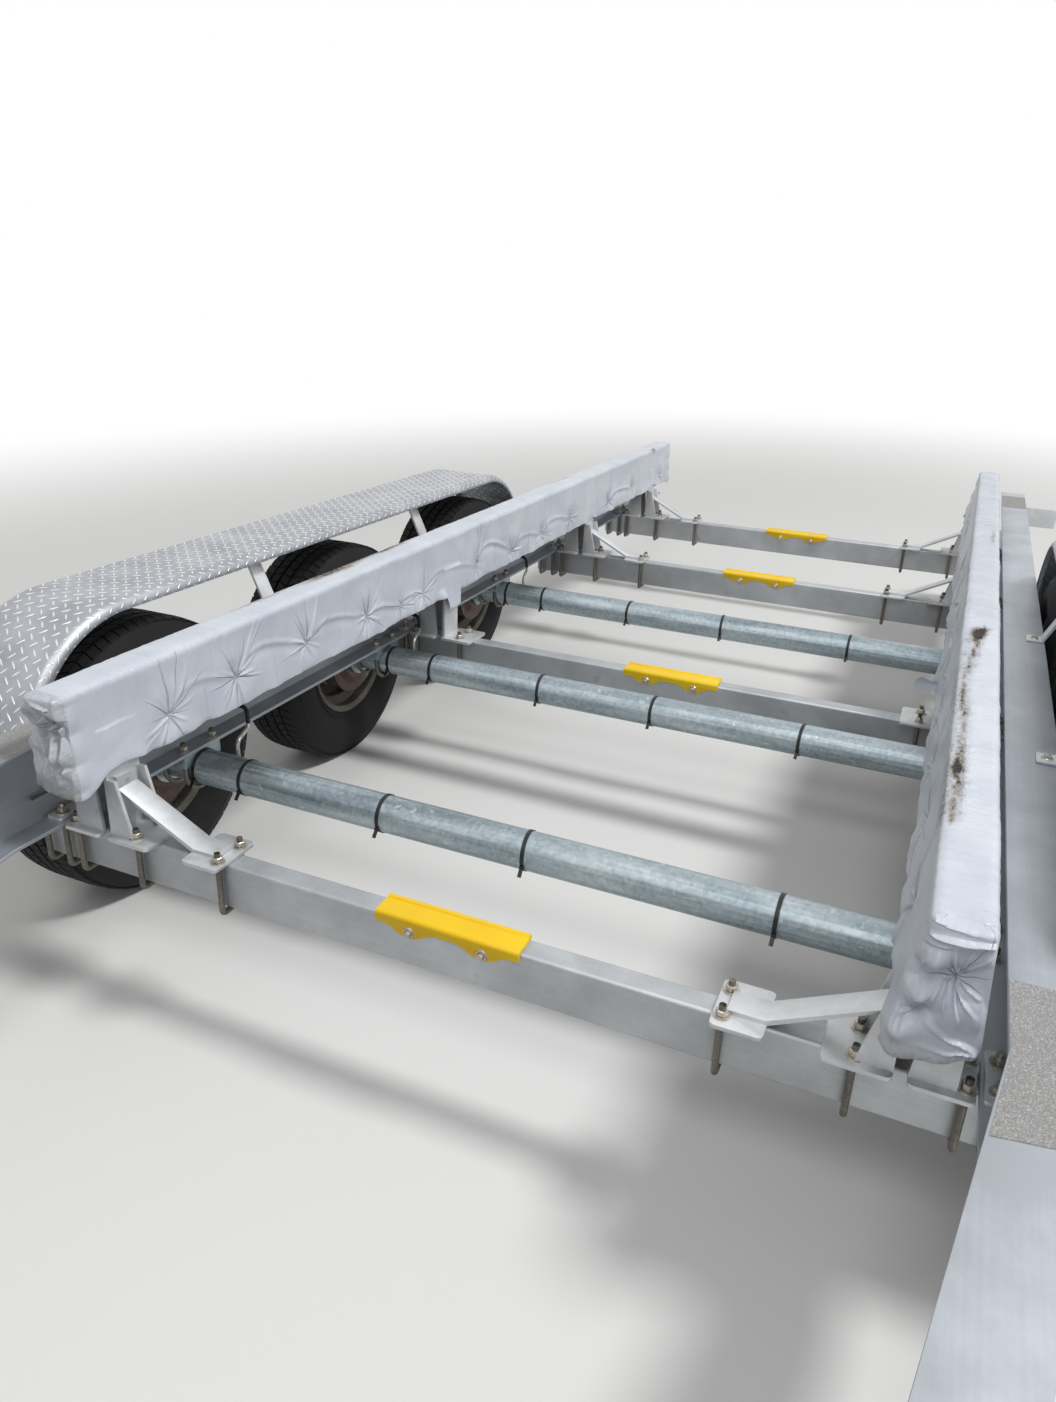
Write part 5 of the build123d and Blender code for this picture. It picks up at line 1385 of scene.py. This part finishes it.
# pleats and ridges: start and end, each as shares from the inner edge and from the bottom, height and width in metres
# dents and bulges: middle, height and radius
END_FOLDS = {
    "right": {
        "pleat": [
            ((1.0, 0.865), (0.0, 0.835), 0.0075, 0.002), ((1.0, 0.02), (0.26, 0.36), -0.0085, 0.002),
        ],
        "ridge": [
            ((0.0, 0.985), (1.0, 0.955), 0.005, 0.0032), ((1.0, 0.915), (0.0, 0.905), 0.0085, 0.005),
            ((0.0, 0.905), (1.0, 0.915), 0.006, 0.005), ((0.56, 0.6), (0.97, 0.8), 0.006, 0.003),
            ((0.56, 0.6), (0.99, 0.66), 0.005, 0.0028), ((0.56, 0.6), (0.92, 0.43), 0.0085, 0.0026),
            ((0.56, 0.6), (0.72, 0.24), 0.0085, 0.0028), ((0.56, 0.6), (0.46, 0.88), 0.011, 0.003),
            ((0.56, 0.6), (0.18, 0.68), 0.007, 0.003), ((0.56, 0.6), (0.32, 0.55), 0.006, 0.0028),
            ((0.1, 0.6), (0.34, 0.51), 0.006, 0.0028), ((0.1, 0.6), (0.16, 0.82), 0.008, 0.0034),
            ((0.26, 0.34), (0.08, 0.45), 0.007, 0.0032), ((0.26, 0.34), (0.04, 0.29), 0.006, 0.0032),
            ((0.98, 0.03), (0.26, 0.34), 0.0036, 0.003), ((0.98, 0.03), (0.3, 0.12), 0.005, 0.004),
            ((0.6, 0.54), (0.88, 0.3), 0.007, 0.0024), ((0.5, 0.54), (0.52, 0.26), 0.006, 0.0026),
            ((0.46, 0.58), (0.34, 0.36), 0.006, 0.0026), ((0.62, 0.66), (0.7, 0.86), 0.006, 0.0026),
        ],
        "dent": [
            ((0.56, 0.6), 0.03, 0.015), ((0.82, 0.66), 0.016, 0.024), ((0.1, 0.6), 0.028, 0.01),
            ((0.26, 0.34), 0.03, 0.011), ((0.36, 0.6), 0.014, 0.012),
        ],
        "bulge": [
            ((0.26, 0.74), 0.022, 0.015), ((0.24, 0.48), 0.02, 0.0115), ((0.1, 0.2), 0.018, 0.015),
            ((0.62, 0.38), 0.01, 0.024), ((0.8, 0.76), 0.006, 0.018),
        ],
    },
    "left": {
        "pleat": [
            ((0.0, 0.78), (1.0, 0.995), 0.013, 0.0026),
        ],
        "ridge": [
            ((0.28, 0.7), (0.3, 0.1), 0.022, 0.0075), ((0.1, 0.7), (0.14, 0.2), 0.015, 0.005),
            ((0.56, 0.74), (0.5, 0.1), 0.017, 0.0065), ((0.98, 0.86), (0.62, 0.3), 0.009, 0.008),
            ((0.96, 0.5), (0.66, 0.06), 0.008, 0.007), ((0.2, 0.9), (0.8, 0.93), 0.006, 0.0045),
            ((0.1, 0.3), (0.4, 0.04), 0.009, 0.006),
        ],
        "dent": [
            ((0.34, 0.66), 0.024, 0.014), ((0.16, 0.62), 0.016, 0.011), ((0.5, 0.36), 0.014, 0.012),
            ((0.8, 0.66), 0.011, 0.014),
        ],
        "bulge": [
            ((0.86, 0.86), 0.015, 0.016), ((0.62, 0.2), 0.012, 0.02), ((0.2, 0.42), 0.009, 0.014),
            ((0.74, 0.48), 0.008, 0.015),
        ],
    },
}


def end_relief(side_name, u, v):
    """How far the folded film of an end stands out, in metres, at shares of its width and height."""
    width, height = OUTER_TOP - INNER_TOP, BUNK_TOP - BUNK_BOTTOM
    a, b = u * width, v * height
    crown = {"left": 0.0100, "right": 0.0150}[side_name]
    out = crown * np.sin(math.pi * np.clip(u, 0, 1)) ** 0.5 * np.clip((1 - v) / 0.10, 0, 1) ** 0.5 + 0.0070
    out += 0.0024 * value_noise(a, b, 0.028, 71) + 0.0005 * value_noise(a, b, 0.010, 72)
    folds = END_FOLDS[side_name]
    for (across, up), size, radius in folds["dent"]:
        out -= size * np.exp(-np.hypot(a - across * width, b - up * height) / radius)
    for (across, up), size, radius in folds["bulge"]:
        out += size * bell(np.hypot(a - across * width, b - up * height), radius)
    for kind in ("ridge", "pleat"):
        for start, end, size, spread_out in folds[kind]:
            start, end = ((across * width, up * height) for across, up in (start, end))
            if kind == "ridge":
                out += fold(a, b, start, end, size, spread_out)
                continue
            share, above, _ = beside_line(a, b, start, end)
            above = above if end[0] < start[0] else -above
            out += size * np.clip((1.15 - share) / 0.3, 0, 1) / (1 + np.exp(-above / (spread_out * 0.25)))
    return out


def film_end(side_name, side, end):
    """The crushed film over one end of a bunk as a mesh. end is -1 at the front and 1 at the rear."""
    mesh, u, v = film_grid("film_end", END_COLUMNS, END_ROWS)
    face_y = np.full_like(u, FILM_FRONT if end < 0 else FILM_REAR)
    low = hem_level(side_name, "inner", face_y) * (1 - u) + hem_level(side_name, "outer", face_y) * u
    droop = {"left": 0.004, "right": -0.008}[side_name]
    low = low + np.sin(math.pi * u) * (0.004 * wave(u * 0.09, 0.012, 81) + droop)
    if side_name == "right" and end < 0:
        low = low - bell(u - 0.20, 0.13) * (0.016 + 0.007 * wave(u * 0.09, 0.004, 82))
    z = low + v * (BUNK_TOP - low)
    corner = np.clip((z - CORNER_Z) / FILM_CORNER, 0, 1)
    rounding = FILM_CORNER * (1 - np.sqrt(1 - corner ** 2))
    x_low = INNER_TOP - FLARE[side_name] * hanging(z) ** 1.25 - rim_wave(z) + rounding
    x_high = OUTER_TOP + OUTER_FLARE * hanging(z) ** 1.2 - rounding
    x = x_low + u * (x_high - x_low)
    rim = np.clip(np.minimum(np.minimum(u, 1 - u) * 20, (1 - v) * 50), 0, 1)
    y = face_y + end * np.maximum(end_relief(side_name, u, v), 0.0) * rim ** 0.6
    # Dust along the lower edge, plus a constant that greys each whole end: partly dirt, partly painted shade.
    dust_and_shade = 0.30 * np.exp(-np.clip(z - low, 0, 1) / 0.012) + (0.20 if side_name == "left" else 0.05)
    pucker = END_FOLDS[side_name]["dent"][0][0]
    staple = np.stack([(u - pucker[0]) * 0.22, (v - pucker[1]) * 0.48, np.full_like(u, 50.0 + side)], 1)
    return write_film(mesh, (side * x, y, z), dust_and_shade, 0.22 + 0.10 * rim, staple, (x, z))


def film_flap():
    """A tongue of film that was slit at the right bunk's lower edge and stands out towards the middle."""
    mesh, s, t = film_grid("film_flap", 14, 10)
    t = 2 * t - 1
    half = 0.009 + 0.010 * s ** 1.3
    places = (0.762 - 0.071 * s + 0.016 * s ** 3 * t * t,
              along(0.046) + 0.5 * half * t + 0.007 * np.sin(math.pi * s) - 0.005 * t * t,
              0.559 + 0.004 * s + half * t)
    return write_film(mesh, places, np.zeros_like(s), np.full_like(s, 0.4), np.full((len(s), 3), FAR))


def wrap_bunk(side_name, side, seed):
    """Join the sheet and its two ends to one piece that stands for the bunk's wrap."""
    sheet, width = film_sheet(side_name, side, seed)
    parts = [sheet, film_end(side_name, side, -1), film_end(side_name, side, 1)]
    if side_name == "right":
        parts.append(film_flap())
    joined = bmesh.new()
    for part in parts:
        joined.from_mesh(part)
        bpy.data.meshes.remove(part)
    bmesh.ops.remove_doubles(joined, verts=[v for v in joined.verts if v.is_boundary], dist=0.0004)
    piece = make_piece(joined, f"bunk_film_{side_name}", film, sharp=60.0)
    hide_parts(f"bunk_wrap_{side_name}")


for seed, (side_name, side) in enumerate(SIDES.items(), 11):
    wrap_bunk(side_name, side, seed * 10)

# %% [markdown]
# ## Floor, backdrop and light
# The floor is pale and plain, but throws light back like a grey yard, so that what faces down stays dark.
# Far out it fades to the white that the world shows to the camera and in reflections, so that no line parts
# the two. One broad lamp high on the right stands for the sun, as the photograph's shadows fall straight
# to the left, and a weak one in front lifts the shaded faces.

# %% Stage
FADE_START, FADE_END = 3.6, 8.5
FLOOR_SINK = 0.0005
# how strong the white world is as light and as backdrop
WORLD_LIGHT, WORLD_SEEN = 0.37, 1.0


def white_rays(tree):
    """1 for rays that the camera or a reflection sends, and 0 for those that carry light."""
    path = add(tree, "LightPath").outputs
    work = maths(tree)
    shown = work("MAXIMUM", path["Is Camera Ray"], path["Is Glossy Ray"])
    return work("MAXIMUM", shown, path["Is Transmission Ray"])


def make_stage():
    """A plain floor that is pale to the camera, grey to light, and white far out."""
    bm = bmesh.new()
    bmesh.ops.create_grid(bm, x_segments=1, y_segments=1, size=60.0, matrix=at(0, 0, -FLOOR_SINK))
    mesh = as_mesh(bm, "floor")
    material, tree, surface = new_material("studio_floor_pale", Roughness=0.9)
    rays = white_rays(tree)
    plug(tree, surface, Base_Color=mixed(tree, rays, hex_colour("#8C8A87"), hex_colour("#E9E9E7")))
    place = object_pattern(tree, (1.0, 0.62, 0.0))
    away = add(tree, "VectorMath", {0: place}, operation="LENGTH").outputs["Value"]
    shown = maths(tree)("MULTIPLY", smooth(tree, away, FADE_START, FADE_END), rays)
    glow = add(tree, "Emission", {"Color": (1.0, 1.0, 1.0, 1.0), "Strength": 1.0}).outputs["Emission"]
    mix = add(tree, "MixShader", {0: shown, 1: surface.outputs["BSDF"], 2: glow})
    tree.links.new(mix.outputs[0], tree.nodes["Material Output"].inputs["Surface"])
    mesh.materials.append(material)
    new_object("floor", mesh)


def make_lamp(name, place, aim, size, watts):
    """A round lamp that shines from a place towards an aim."""
    data = bpy.data.lights.new(name, "AREA")
    data.shape = "DISK"
    data.size = size
    data.energy = watts
    lamp = new_object(name, data)
    lamp.location = place
    lamp.rotation_euler = (Vector(aim) - Vector(place)).to_track_quat("-Z", "Y").to_euler()


def make_world():
    """A white world that is dimmer as light than as backdrop."""
    world = bpy.data.worlds.new("studio")
    bpy.context.scene.world = world
    world.use_nodes = True
    tree = world.node_tree
    back = tree.nodes["Background"]
    back.inputs["Color"].default_value = (1.0, 1.0, 1.0, 1.0)
    tree.links.new(spread(tree, white_rays(tree), WORLD_LIGHT, WORLD_SEEN), back.inputs["Strength"])


make_stage()
make_lamp("key", (7.7, along(0.4), 12.4), (0, along(0), 0.4), 3.0, 1190)
make_lamp("fill", (0.8, along(-5.4), 6.3), (0.4, along(-1.3), 0.5), 2.2, 95)
make_world()
bpy.context.scene.view_settings.view_transform = "Standard"
print("stage, two lamps and the world")
